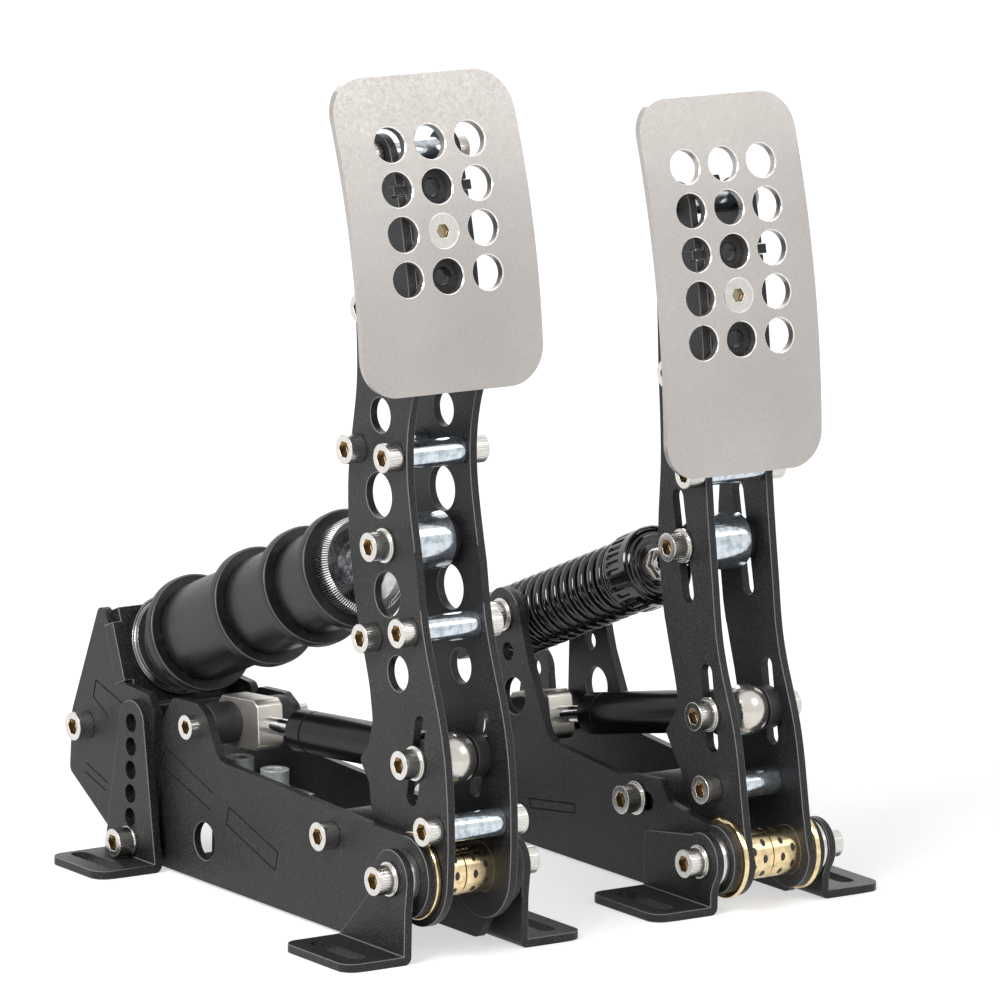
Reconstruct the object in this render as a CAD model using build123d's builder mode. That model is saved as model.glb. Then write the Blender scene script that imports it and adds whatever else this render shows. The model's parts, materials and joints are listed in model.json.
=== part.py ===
"""Sim racing pedal set: a load-cell brake and a spring throttle, each on its own steel feet.

Millimetres. X runs to the driver's right, Y away from the driver, Z up from the floor.
Each pedal is drawn from a datum below its pivot pin: outlines run rearward and up from there.
"""
import math
import os

from build123d import *

os.makedirs("parts", exist_ok=True)

# Layout of the two pedals
pedal_spacing = 130.0
throttle_setback = 2.4
rear_reach = 205.5
nose_radius = 17.5
brake_x = -pedal_spacing / 2
throttle_x = pedal_spacing / 2
brake_y = -(rear_reach - nose_radius) / 2
throttle_y = brake_y + throttle_setback

# Plates side by side, outward from a pedal's middle
half_gap = 11.25
arm_thickness = 3.0
flange_thickness = 2.0
side_thickness = 3.0
bracket_thickness = 3.0
foot_thickness = 3.0
arm_outer = half_gap + arm_thickness
side_inner = arm_outer + flange_thickness
side_outer = side_inner + side_thickness
bracket_outer = side_outer + bracket_thickness
foot_outer = bracket_outer + foot_thickness

# Clearances
running_gap = 0.1
bore_clearance = 0.05
hole_clearance = 0.2
joint_clearance = 0.5
seat_gap = 0.3
overrun = 1.0

# Cap screws and washers
shank_radius = 3.0
head_radius = 5.0
head_height = 6.0
socket_radius = 2.9
socket_depth = 3.0
edge_break = 0.5
washer_thickness = 1.2
washer_radius = 6.0
foot_washer_radius = 5.2
thread_reach = 8.0
small_shank_radius = 2.5
small_head_radius = 4.25
small_head_height = 5.0
nut_radius = 5.6
nut_height = 5.0

# Pivot pin, bushes and thick washers
pin_radius = 5.0
bush_radius = 8.5
bush_flange_radius = 11.5
pivot_washer_radius = 9.5

# Brake: pivot, arm and its fixings
brake_pivot_z = 28.0
brake_arm_height = 278.0
brake_arm_front_shares = ((0.036, 0.589), (0.012, 0.472), (-0.002, 0.404), (-0.047, 0.278), (-0.061, 0.198))
brake_arm_rear_shares = ((0.149, 0.881), (0.152, 0.777), (0.147, 0.683), (0.161, 0.58), (0.156, 0.477))
brake_arm_waist_shares = ((0.133, 0.381), (0.111, 0.318))
brake_hook_shares = ((0.101, 0.271), (0.108, 0.242), (0.127, 0.219), (0.106, 0.194), (0.101, 0.164))
hook_fillet = 1.6
crown_radius = 7.5
nose_turn = math.radians(40)
brake_windows = ((26.4, 180.2, 6.0), (26.5, 153.0, 7.7), (20.5, 120.2, 7.7), (13.5, 94.4, 6.1))
brake_slots = ((-0.9, 82.5, 4.3, 51.1),)
slot_width = 6.4
spacer_radius = 4.75
brake_spacers = ((31.0, 267.0), (31.7, 216.1), (16.5, 167.7), (39.0, 167.0), (6.3, 110.0), (28.0, 104.3),
                 (-10.5, 45.5))
brake_barrel_y = 22.0
brake_barrel_z = 136.7
brake_ball_y = 1.8
ball_z = 66.0

# Throttle: pivot, arm and its fixings
throttle_pivot_z = 17.8
throttle_nose_radius = 13.3
throttle_arm_height = 262.0
throttle_arm_front_shares = ((0.05, 0.46), (0.044, 0.422), (0.033, 0.355), (0.016, 0.303), (-0.007, 0.248),
                             (-0.024, 0.183), (-0.037, 0.115))
throttle_arm_rear_shares = ((0.198, 0.935), (0.187, 0.821), (0.176, 0.695), (0.166, 0.557), (0.168, 0.474))
throttle_arm_waist_shares = ((0.161, 0.42), (0.149, 0.363), (0.134, 0.316))
throttle_hook_shares = ((0.116, 0.263), (0.119, 0.241), (0.141, 0.211), (0.12, 0.182), (0.106, 0.166))
throttle_windows = ()
throttle_slots = ((33.5, 141.3, 24.8, 102.6), (14.4, 83.1, 8.8, 53.0))
throttle_spacers = ((41.5, 239.0), (33.6, 181.5), (21.8, 148.5), (8.1, 40.7))
throttle_barrel_y = 28.9
throttle_barrel_z = 122.0
throttle_ball_y = 11.3

# Pedal plates: each front face is part of a wide drum, lowest where it points straight forward
plate_thickness = 3.0
rim_chamfer = 0.7
plate_hole_radius = 6.0
column_pitch = 16.0
row_pitch = 15.1
plate_screw_radius = 6.2
plate_setback = 0.3
brake_face_radius = 286.0
brake_face_y = 3.0
brake_face_z = 174.0
brake_plate_width = 72.6
brake_plate_low = 190.4
brake_plate_high = 294.0
brake_plate_corner = 13.5
brake_top_row_z = 272.4
brake_rows = 4
brake_screw_row = 2
throttle_face_radius = 370.0
throttle_face_y = 13.7
throttle_face_z = 143.7
throttle_plate_width = 65.4
throttle_plate_low = 148.4
throttle_plate_high = 276.0
throttle_plate_corner = 12.5
throttle_top_row_z = 253.4
throttle_rows = 5
throttle_screw_row = 3

# Curved strip that carries a pedal plate between its arms
strip_thickness = 4.0
strip_overhang = 8.0
strip_tab_height = 3.4
strip_tab_reach = 1.4

# Base side plates
brake_side_length = 155.2
brake_side_height = 62.9
brake_side_shares = ((0.0, 0.668), (0.135, 0.668), (0.722, 0.719), (0.744, 0.744), (0.792, 0.951), (0.829, 1.0),
                     (0.928, 0.986), (1.0, 0.731), (0.979, 0.016), (0.052, 0.016), (0.0, 0.19))
side_fillet = 3.0
side_lift = 1.0
brake_side_nose = 14.0
brake_hole_y = 123.0
brake_hole_z = 15.3
large_hole_radius = 6.65
throttle_side_length = 180.0
throttle_side_height = 90.0
throttle_side_shares = ((0.0, 0.32), (0.151, 0.361), (0.18, 0.44), (0.283, 0.423), (0.31, 0.407), (0.537, 0.446),
                        (0.558, 0.468), (0.63, 0.74), (0.665, 0.94), (0.769, 0.94), (0.769, 0.5), (0.84, 0.36),
                        (0.978, 0.289), (1.0, 0.23), (1.0, 0.011), (0.033, 0.011), (0.0, 0.06))
throttle_side_nose = 11.8
throttle_boss_radius = 9.7
throttle_small_hole_y = 125.5
throttle_small_hole_z = 67.5
small_hole_radius = 3.3
throttle_large_hole_y = 121.2
throttle_large_hole_z = 52.2

# Engraved marks on the side plates, as shares of each plate's length and height
mark_width = 0.6
mark_depth = 0.3
brake_mark_shares = (((0.761, 0.529), (0.955, 0.69), (0.976, 0.59), (0.772, 0.431)),
                     ((0.694, 0.482), (0.496, 0.328), (0.506, 0.223), (0.704, 0.382), (0.694, 0.482)))
throttle_mark_shares = (((0.615, 0.191), (0.462, 0.23), (0.461, 0.194), (0.61, 0.156), (0.615, 0.191)),)
bracket_mark_shares = (((0.878, 0.557), (0.927, 0.622), (0.919, 0.693), (0.832, 0.632)),
                       ((0.947, 0.338), (0.879, 0.287)), ((0.951, 0.301), (0.883, 0.251)))

# Floor plates welded between the side plates
floor_lift = 2.0
floor_thickness = 3.0
floor_front = 60.0
floor_length = 85.0

# Stop bars
stop_radius = 8.0
brake_stop_y = 44.2
brake_stop_z = 33.5
throttle_stop_y = 46.0
throttle_stop_z = 30.4
stop_slot_length = 12.8
stop_slot_offset = -3.1

# Feet
foot_reach = 48.5
foot_slot_width = 6.5
foot_slot_x = 38.7
foot_corner = 6.0
foot_bend = 2.6
foot_boss_radius = 10.0
shoulder_round = 3.0
round_share = 0.3
shoulder_share = 0.85
brake_front_start = -9.0
brake_front_end = 30.0
throttle_front_start = -6.5
throttle_front_end = 33.0
foot_slot_length = 28.0
rear_foot_y = 161.2
throttle_rear_foot_y = 163.0
rear_foot_length = 32.5
rear_foot_top_radius = 8.0
foot_hole_pitch = 8.4
foot_holes = 6
foot_hole_radius = 3.3

# Rear brackets of the brake, their cross tube and the load plate
bracket_length = 205.5
bracket_height = 86.7
bracket_shares = ((0.895, 1.0), (0.914, 0.997), (0.994, 0.54), (1.0, 0.288), (0.896, 0.14), (0.815, 0.023),
                  (0.74, 0.023), (0.734, 0.638), (0.751, 0.707), (0.829, 0.719))
rear_bolt_y = 194.6
rear_bolt_z = 43.0
rear_tube_radius = 6.0
load_plate_thickness = 6.0
load_plate_height = 35.0
load_plate_drop = 2.0
load_plate_tab = 21.0
tab_proud = 0.5

# Load cell and its blocks
cell_width = 18.0
cell_height = 14.0
cell_front = 97.0
cell_length = 93.0
front_block_y = 119.5
front_block_length = 29.0
rear_block_y = 170.0
rear_block_length = 34.0
rear_block_thickness = 4.5
block_top = 20.0
block_hole_depth = 10.0
cell_screw_pitch = 22.0
rear_screw_pitch = 12.0
rear_screw_y = 176.0
cell_window_length = 30.0
cell_window_height = 7.0
screw_washer = 1.6

# Dampers, measured from the trunnion towards the ball
brake_trunnion_y = 128.3
brake_trunnion_z = 55.0
throttle_trunnion_y = 135.7
throttle_trunnion_z = 40.5
damper_block_width = 10.5
damper_block_height = 17.5
damper_block_front = 17.0
damper_block_back = 8.0
block_chamfer = 2.5
trunnion_spacer_radius = 7.25
damper_rod_radius = 3.0
damper_start = 29.0
damper_groove = 44.0
groove_width = 1.0
groove_depth = 0.5
damper_radius = 7.5
damper_end_gap = 14.0
damper_neck_radius = 4.0
damper_bore_depth = 45.0
rod_insert = 20.0
ball_radius = 9.0
ball_half_width = 6.0
ball_spacer_radius = 7.5

# Rods and barrels
rod_tilt = math.radians(22.7)
barrel_radius = 9.75
barrel_half = 8.0
barrel_spacer_radius = 7.5
brake_rod_radius = 5.5
throttle_rod_radius = 4.0

# Brake stack: distances down the rod from the barrel
disc_radius = 21.0
disc_thickness = 4.5
disc_lip = 0.8
ring_start = 35.0
ring_radius = 17.0
ring_dish_radius = 15.0
ring_hub_radius = 8.3
ring_dish_depth = 2.5
disc_4_start = 42.0
rubber_1_length = 21.5
rubber_2_length = 28.0
rubber_3_length = 39.0
rubber_radius = 17.5
rubber_round = 1.5
pilot_radius = 14.0
stack_spacer_length = 11.5
silver_ring_length = 2.0
silver_ring_radius = 17.0
thrust_washer_length = 2.5
thrust_washer_radius = 18.0
rod_tail = 8.0
disc_mark_radius = 1.0

# Throttle spring and its seats: distances down the rod from the barrel
yoke_distance = 108.6
nut_start = 33.2
nut_length = 3.0
nut_corner_radius = 5.6
cap_washer_radius = 5.9
cap_thickness = 2.4
cap_radius = 13.3
cap_rim_shares = ((0.97, 0.2), (0.88, -0.3), (0.7, -0.3), (0.56, 0.1))
collar_lead = 0.4
collar_length = 13.0
collar_radius = 14.2
collar_notches = 16
collar_notch_depth = 0.7
collar_notch_length = 8.0
notch_margin = 3.2
spring_length = 93.0
spring_outer_radius = 13.25
wire_radius = 1.75
spring_turns = 16.5
perch_length = 4.0
yoke_arm_thickness = 2.2
yoke_arm_gap = 0.45
yoke_boss_radius = 8.5
yoke_rod_clearance = 0.9

# Distances that follow from the sizes above
disc_3_start = disc_4_start + disc_thickness + rubber_1_length
disc_2_start = disc_3_start + disc_thickness + rubber_2_length
disc_1_start = disc_2_start + disc_thickness + rubber_3_length
stack_spacer_start = disc_1_start + disc_thickness
silver_ring_start = stack_spacer_start + stack_spacer_length
thrust_washer_start = silver_ring_start + silver_ring_length
load_plate_start = thrust_washer_start + thrust_washer_length
brake_rod_end = load_plate_start + load_plate_thickness + rod_tail
cap_start = nut_start + nut_length + washer_thickness
collar_start = cap_start - collar_lead
cap_end = cap_start + cap_thickness
spring_start = collar_start + collar_length
perch_start = spring_start + spring_length
throttle_rod_end = perch_start + perch_length + rod_tail
cell_bottom = block_top
cell_top = cell_bottom + cell_height
tilt_y = math.cos(rod_tilt)
tilt_z = -math.sin(rod_tilt)
yoke_inner = spring_outer_radius + yoke_arm_gap
yoke_y = throttle_barrel_y + yoke_distance * tilt_y
yoke_z = throttle_barrel_z + yoke_distance * tilt_z


def save(piece, name):
    """Label a finished piece and write it as one STEP file."""
    piece.part.label = name
    export_step(piece.part, f"parts/{name}.step")


def side_plane(x, y):
    """Upright plane facing +X at x, with its X rearward from y and its Y up."""
    return Plane(origin=(x, y, 0), x_dir=(0, 1, 0), z_dir=(1, 0, 0))


def cross_plane(x, y, z, side=1):
    """Plane facing sideways with its origin at a point of the pedal."""
    return Plane(origin=(x, y, z), x_dir=(0, 1, 0), z_dir=(side, 0, 0))


def line_plane(x, y, z, rearward, upward):
    """Plane through a pedal's middle whose X follows a direction and whose Y stands square to it."""
    return Plane(origin=(x, y, z), x_dir=(0, rearward, upward), z_dir=(1, 0, 0))


def placed(shares, length, height):
    """Points of an outline from its shares of a length and of a height."""
    return [(along * length, up * height) for along, up in shares]


def face_point(radius, low_y, low_z, angle, depth):
    """Point at a depth behind a pedal plate's curved front face, at an angle above its lowest point."""
    inner = radius - depth
    return (low_y + radius - inner * math.cos(angle), low_z + inner * math.sin(angle))


def rise_angle(radius, low_z, z):
    """Angle about the face's centre that reaches a height."""
    return math.asin((z - low_z) / radius)


def turned(plane, outline):
    """Closed profile of (along, radius) points on a plane, ready to revolve about the plane's X."""
    with BuildSketch(plane) as profile:
        with BuildLine():
            Polyline(*outline, close=True)
        make_face()
    return profile.sketch


def disc_group(rings, plane, name):
    """Turned rings on one axis in one group; each ring is a closed outline."""
    with BuildPart() as group:
        for ring in rings:
            revolve(profiles=turned(plane, ring), axis=Axis(plane.origin, plane.x_dir))
    save(group, name)


def screws(name, places, washers, upright=()):
    """Cap screws and washers in one group; upright places are the heads of screws that point down."""
    with BuildPart() as group:
        for x, y, z, side, reach, shank, head, height in (*places, *upright):
            plane = cross_plane(x, y, z, side) if side else Plane(origin=(x, y, z))
            with BuildSketch(plane):
                Circle(head)
            extrude(amount=height)
            with BuildSketch(plane.offset(height)):
                RegularPolygon(socket_radius * head / head_radius, side_count=6)
            extrude(amount=-socket_depth, mode=Mode.SUBTRACT)
            if reach:
                with BuildSketch(plane):
                    Circle(shank)
                extrude(amount=-reach)
        for x, y, z, side, thickness, radius, bore in washers:
            with BuildSketch(cross_plane(x, y, z, side) if side else Plane(origin=(x, y, z))):
                Circle(radius)
                Circle(bore, mode=Mode.SUBTRACT)
            extrude(amount=thickness)
    save(group, name)


def tubes(name, x, y, places, radius, bore, spans):
    """Cross tubes between two X positions in one group."""
    with BuildPart() as group:
        for place_y, place_z in places:
            for start, end in spans:
                with BuildSketch(cross_plane(x + start, y + place_y, place_z)):
                    Circle(radius)
                    Circle(bore, mode=Mode.SUBTRACT)
                extrude(amount=end - start)
    save(group, name)


def arm(name, x, y, left_face, face, top_z, front, rear, hook, height, pivot_z, nose, holes, windows, slots,
        tab_angle, crown):
    """One laser-cut arm plate, its front edge following the pedal plate down to the nose."""
    radius, low_y, low_z, plate_low = face
    depth = plate_thickness + plate_setback
    top_angle = rise_angle(radius, low_z, top_z + crown[2] / 2)
    low_angle = rise_angle(radius, low_z, plate_low)
    top_front = face_point(radius, low_y, low_z, top_angle, depth)
    mid_front = face_point(radius, low_y, low_z, (top_angle + low_angle) / 2, depth)
    low_front = face_point(radius, low_y, low_z, low_angle, depth)
    front_points = placed(front, height, height)
    rear_points = placed(rear, height, height)
    hook_points = placed(hook, height, height)
    nose_end = (nose * math.cos(nose_turn), pivot_z - nose * math.sin(nose_turn))
    top_rear = (crown[0] + crown[2], crown[1])
    with BuildPart() as plate:
        with BuildSketch(side_plane(x + left_face, y)):
            with BuildLine():
                ThreePointArc(top_front, mid_front, low_front)
                Spline(low_front, *front_points, (-nose, pivot_z))
                ThreePointArc((-nose, pivot_z), (0, pivot_z - nose), nose_end)
                Line(nose_end, hook_points[-1])
                FilletPolyline(*reversed(hook_points), radius=hook_fillet)
                Spline(hook_points[0], *reversed(rear_points), top_rear)
                ThreePointArc(top_rear, (crown[0], crown[1] + crown[2]), top_front)
            make_face()
            for hole_y, hole_z in holes:
                with Locations((hole_y, hole_z)):
                    Circle(shank_radius + hole_clearance, mode=Mode.SUBTRACT)
            for hole_y, hole_z, hole_radius in windows:
                with Locations((hole_y, hole_z)):
                    Circle(hole_radius, mode=Mode.SUBTRACT)
            with Locations((0, pivot_z)):
                Circle(bush_radius, mode=Mode.SUBTRACT)
            for start_y, start_z, end_y, end_z in slots:
                span = math.dist((start_y, start_z), (end_y, end_z))
                turn = math.degrees(math.atan2(end_z - start_z, end_y - start_y))
                with Locations(((start_y + end_y) / 2, (start_z + end_z) / 2)):
                    SlotOverall(span, slot_width, rotation=turn, mode=Mode.SUBTRACT)
            tab_depth = plate_thickness + strip_thickness / 2
            with Locations(face_point(radius, low_y, low_z, tab_angle, tab_depth)):
                Rectangle(strip_thickness + 2 * hole_clearance, strip_tab_height + 2 * hole_clearance,
                          rotation=-math.degrees(tab_angle), mode=Mode.SUBTRACT)
        extrude(amount=arm_thickness)
    save(plate, name)


def curved_profile(x, y, face, low_angle, high_angle, near, far):
    """Side profile of a sheet that follows a pedal plate's face between two depths."""
    radius, low_y, low_z, _ = face
    middle = (low_angle + high_angle) / 2
    with BuildSketch(side_plane(x, y)) as profile:
        with BuildLine():
            front = [face_point(radius, low_y, low_z, angle, near) for angle in (low_angle, middle, high_angle)]
            back = [face_point(radius, low_y, low_z, angle, far) for angle in (high_angle, middle, low_angle)]
            ThreePointArc(*front)
            Line(front[-1], back[0])
            ThreePointArc(*back)
            Line(back[-1], front[0])
        make_face()
    return profile.sketch


def row_planes(x, y, face, top_row_z, rows, depth):
    """One plane for each row of holes, square to the plate at a depth behind its face."""
    radius, low_y, low_z, _ = face
    planes = []
    for row in range(rows):
        angle = rise_angle(radius, low_z, top_row_z) - row * row_pitch / radius
        point_y, point_z = face_point(radius, low_y, low_z, angle, depth)
        planes.append(Plane(origin=(x, y + point_y, point_z), x_dir=(1, 0, 0),
                            z_dir=(0, -math.cos(angle), math.sin(angle))))
    return planes


def pedal_plate(name, x, y, face, width, high, corner, top_row_z, rows, screw_row):
    """Curved pedal plate with chamfered rims, rows of holes and one countersunk screw hole."""
    radius, _, low_z, low = face
    low_angle = rise_angle(radius, low_z, low) - overrun / radius
    high_angle = rise_angle(radius, low_z, high) + 2 * plate_thickness / radius
    with BuildPart() as plate:
        extrude(to_extrude=curved_profile(x - width / 2, y, face, low_angle, high_angle, 0, plate_thickness),
                amount=width)
        with BuildSketch(Plane(origin=(x, y, (low + high) / 2), x_dir=(1, 0, 0), z_dir=(0, -1, 0))):
            RectangleRounded(width, high - low, corner)
        extrude(amount=high, both=True, mode=Mode.INTERSECT)
        front = plate.faces().filter_by(GeomType.CYLINDER).sort_by(SortBy.AREA)[-1]
        chamfer(front.edges(), rim_chamfer)
        for row, plane in enumerate(row_planes(x, y, face, top_row_z, rows, 0)):
            for column in (-1, 0, 1):
                with Locations(plane.offset(0)):
                    with Locations((column * column_pitch, 0)):
                        if column == 0 and row == screw_row:
                            CounterSinkHole(shank_radius + hole_clearance, plate_screw_radius,
                                            plate_thickness + overrun, counter_sink_angle=90)
                        else:
                            CounterSinkHole(plate_hole_radius, plate_hole_radius + rim_chamfer / 2,
                                            plate_thickness + overrun, counter_sink_angle=90)
    save(plate, name)


def plate_strip(name, x, y, face, top_row_z, rows, screw_row):
    """Curved strip between the arms, with tabs in their notches and the plate's screw holes."""
    radius, low_y, low_z, _ = face
    first = screw_row - 1
    top_angle = rise_angle(radius, low_z, top_row_z)
    high_angle = top_angle - (first * row_pitch - strip_overhang) / radius
    low_angle = top_angle - ((screw_row + 1) * row_pitch + strip_overhang) / radius
    tab_angle = top_angle - first * row_pitch / radius
    width = 2 * (half_gap - hole_clearance)
    near = plate_thickness
    far = plate_thickness + strip_thickness
    tab_half = strip_tab_height / 2 / radius
    tab_reach = arm_outer + strip_tab_reach - width / 2 + overrun
    with BuildPart() as strip:
        extrude(to_extrude=curved_profile(x - width / 2, y, face, low_angle, high_angle, near, far), amount=width)
        for row, plane in enumerate(row_planes(x, y, face, top_row_z, rows, near)):
            if first <= row <= screw_row + 1:
                with BuildSketch(plane.offset(overrun)):
                    Circle(shank_radius)
                extrude(amount=-strip_thickness - 2 * overrun, mode=Mode.SUBTRACT)
                with BuildSketch(plane.offset(overrun)):
                    Circle(shank_radius + overrun + rim_chamfer)
                extrude(amount=-overrun - rim_chamfer, taper=45, mode=Mode.SUBTRACT)
        for side in (-1, 1):
            tab_start = x + side * (width / 2 - overrun)
            extrude(to_extrude=curved_profile(tab_start, y, face, tab_angle - tab_half, tab_angle + tab_half,
                                              near, far), amount=side * tab_reach)
    save(strip, name)


def arm_screws(name, x, y, spacers, ball, barrel, face, top_row_z, rows, screw_row):
    """Every screw of an arm pair, with the countersunk screw of the pedal plate."""
    ball_y, ball_z_place = ball
    barrel_y, barrel_z = barrel
    plane = row_planes(x, y, face, top_row_z, rows, 0)[screw_row]
    with BuildPart() as group:
        for side in (-1, 1):
            for place_y, place_z in spacers:
                seat = cross_plane(x + side * arm_outer, y + place_y, place_z, side)
                with BuildSketch(seat):
                    Circle(head_radius)
                extrude(amount=head_height)
                with BuildSketch(seat.offset(head_height)):
                    RegularPolygon(socket_radius, side_count=6)
                extrude(amount=-socket_depth, mode=Mode.SUBTRACT)
                with BuildSketch(seat):
                    Circle(shank_radius)
                extrude(amount=-thread_reach)
            for place_y, place_z in ((ball_y, ball_z_place), (barrel_y, barrel_z)):
                seat = cross_plane(x + side * arm_outer, y + place_y, place_z, side)
                with BuildSketch(seat):
                    Circle(washer_radius)
                extrude(amount=washer_thickness)
                with BuildSketch(seat.offset(washer_thickness)):
                    Circle(head_radius)
                extrude(amount=head_height)
                with BuildSketch(seat.offset(washer_thickness + head_height)):
                    RegularPolygon(socket_radius, side_count=6)
                extrude(amount=-socket_depth, mode=Mode.SUBTRACT)
                with BuildSketch(seat):
                    Circle(shank_radius)
                extrude(amount=-arm_outer)
        with BuildSketch(plane.offset(-hole_clearance)):
            Circle(plate_screw_radius - hole_clearance)
        extrude(amount=-(plate_screw_radius - hole_clearance - shank_radius), taper=45)
        with BuildSketch(plane.offset(-hole_clearance)):
            Circle(shank_radius)
        extrude(amount=-(plate_thickness + strip_thickness + overrun))
        with BuildSketch(plane.offset(-hole_clearance)):
            RegularPolygon(socket_radius * small_head_radius / head_radius, side_count=6)
        extrude(amount=-plate_thickness / 2, mode=Mode.SUBTRACT)
    save(group, name)


def bushes(name, x, y, pivot_z):
    """Two flanged bronze bushes that meet in the middle of the arm pair."""
    with BuildPart() as pair:
        for side in (-1, 1):
            end = cross_plane(x, y, pivot_z, side)
            with BuildSketch(end.offset(bore_clearance)):
                Circle(bush_radius)
            extrude(amount=arm_outer - bore_clearance)
            with BuildSketch(end.offset(arm_outer)):
                Circle(bush_flange_radius)
            extrude(amount=flange_thickness - running_gap)
        with BuildSketch(cross_plane(x, y, pivot_z)):
            Circle(pin_radius + bore_clearance)
        extrude(amount=side_inner, both=True, mode=Mode.SUBTRACT)
    save(pair, name)


def cross_spacers(name, x, y, ball, barrel):
    """Black spacers beside the damper's ball and beside the rod's barrel."""
    with BuildPart() as group:
        for side in (-1, 1):
            for place, inner, radius in ((ball, ball_half_width + seat_gap, ball_spacer_radius),
                                         (barrel, barrel_half + running_gap, barrel_spacer_radius)):
                with BuildSketch(cross_plane(x + side * inner, y + place[0], place[1], side)):
                    Circle(radius)
                    Circle(shank_radius, mode=Mode.SUBTRACT)
                extrude(amount=half_gap - inner)
    save(group, name)


def barrel(name, x, y, place, rod_radius):
    """Cross barrel that turns on the arm screws and takes the rod's end in its side."""
    with BuildPart() as piece:
        with BuildSketch(cross_plane(x, y + place[0], place[1])):
            Circle(barrel_radius)
            Circle(shank_radius + bore_clearance, mode=Mode.SUBTRACT)
        extrude(amount=barrel_half, both=True)
        with BuildSketch(Plane(origin=(x, y + place[0], place[1]), x_dir=(1, 0, 0), z_dir=(0, tilt_y, tilt_z)).offset(
                shank_radius + 2 * overrun)):
            Circle(rod_radius)
        extrude(amount=barrel_radius, mode=Mode.SUBTRACT)
    save(piece, name)


def rod(name, x, y, place, radius, end):
    """Plain rod from its seat in the barrel to its free end."""
    start = shank_radius + 2 * overrun
    plane = line_plane(x, y + place[0], place[1], tilt_y, tilt_z)
    with BuildPart() as piece:
        outline = ((start, 0), (end, 0), (end, radius - edge_break), (end - edge_break, radius), (start, radius))
        revolve(profiles=turned(plane, outline), axis=Axis(plane.origin, plane.x_dir))
    save(piece, name)


def engraved(plane, shares, length, height):
    """Strokes of the marks on a plate's outer face, along open or closed polylines."""
    for mark in shares:
        with BuildSketch(plane) as stroke:
            with BuildLine():
                Polyline(*placed(mark, length, height))
            trace(line_width=mark_width)
        yield stroke.sketch


def side_plate(name, x, y, side, shares, length, height, pivot_z, nose, holes, slots, marks, boss=None):
    """Laser-cut base side plate with its nose round the pivot, its holes and its marks."""
    left = x + (side_inner if side > 0 else -side_outer)
    outer = x + side * side_outer
    with BuildPart() as plate:
        with BuildSketch(side_plane(left, y)):
            with BuildLine():
                FilletPolyline(*placed(shares, length, height), radius=side_fillet, close=True)
            make_face()
            with Locations((0, pivot_z)):
                Circle(nose)
            if boss:
                with Locations((boss[0], boss[1])):
                    Circle(boss[2])
            with Locations((0, pivot_z)):
                Circle(pin_radius, mode=Mode.SUBTRACT)
            for hole_y, hole_z, hole_radius in holes:
                with Locations((hole_y, hole_z)):
                    Circle(hole_radius, mode=Mode.SUBTRACT)
            for slot_y, slot_z, slot_length, slot_height in slots:
                with Locations((slot_y, slot_z)):
                    SlotOverall(slot_length, slot_height, mode=Mode.SUBTRACT)
        extrude(amount=side_thickness)
        for stroke in engraved(side_plane(outer, y), marks, length, height):
            extrude(to_extrude=stroke, amount=-side * mark_depth, mode=Mode.SUBTRACT)
    save(plate, name)


def front_feet(name, x, y, pivot_z, start, end, shoulder):
    """Two L-shaped front feet, each bolted on at the pivot with a slotted flange outward."""
    with BuildPart() as feet:
        for side in (-1, 1):
            inner = x + side * bracket_outer
            with BuildSketch(side_plane(inner, y)):
                with BuildLine():
                    Polyline((start, 0), (end, 0), (end, foot_thickness), *shoulder, (0, pivot_z),
                             (-foot_boss_radius, pivot_z), (start, pivot_z - foot_boss_radius), close=True)
                make_face()
                with Locations((0, pivot_z)):
                    Circle(foot_boss_radius)
                    Circle(shank_radius + hole_clearance, mode=Mode.SUBTRACT)
            extrude(amount=side * foot_thickness)
            width = foot_reach - bracket_outer
            flange_x = x + side * (bracket_outer + width / 2)
            with BuildSketch(Plane(origin=(flange_x, y + (start + end) / 2, 0))):
                with Locations((-side * foot_corner / 2, 0)):
                    Rectangle(width - foot_corner, end - start)
                with Locations((side * (width / 2 - foot_corner), 0)):
                    RectangleRounded(2 * foot_corner, end - start, foot_corner - edge_break)
            extrude(amount=foot_thickness)
            with BuildSketch(Plane(origin=(x + side * foot_slot_x, y + (start + end) / 2, 0))):
                SlotOverall(foot_slot_length, foot_slot_width, rotation=90)
            extrude(amount=foot_thickness, mode=Mode.SUBTRACT)
            bend = feet.edges().filter_by(Axis.Y).filter_by_position(Axis.Z, 0, 0)
            bend = bend.filter_by_position(Axis.X, inner - edge_break, inner + edge_break)
            fillet(bend, foot_bend)
    save(feet, name)


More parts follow.
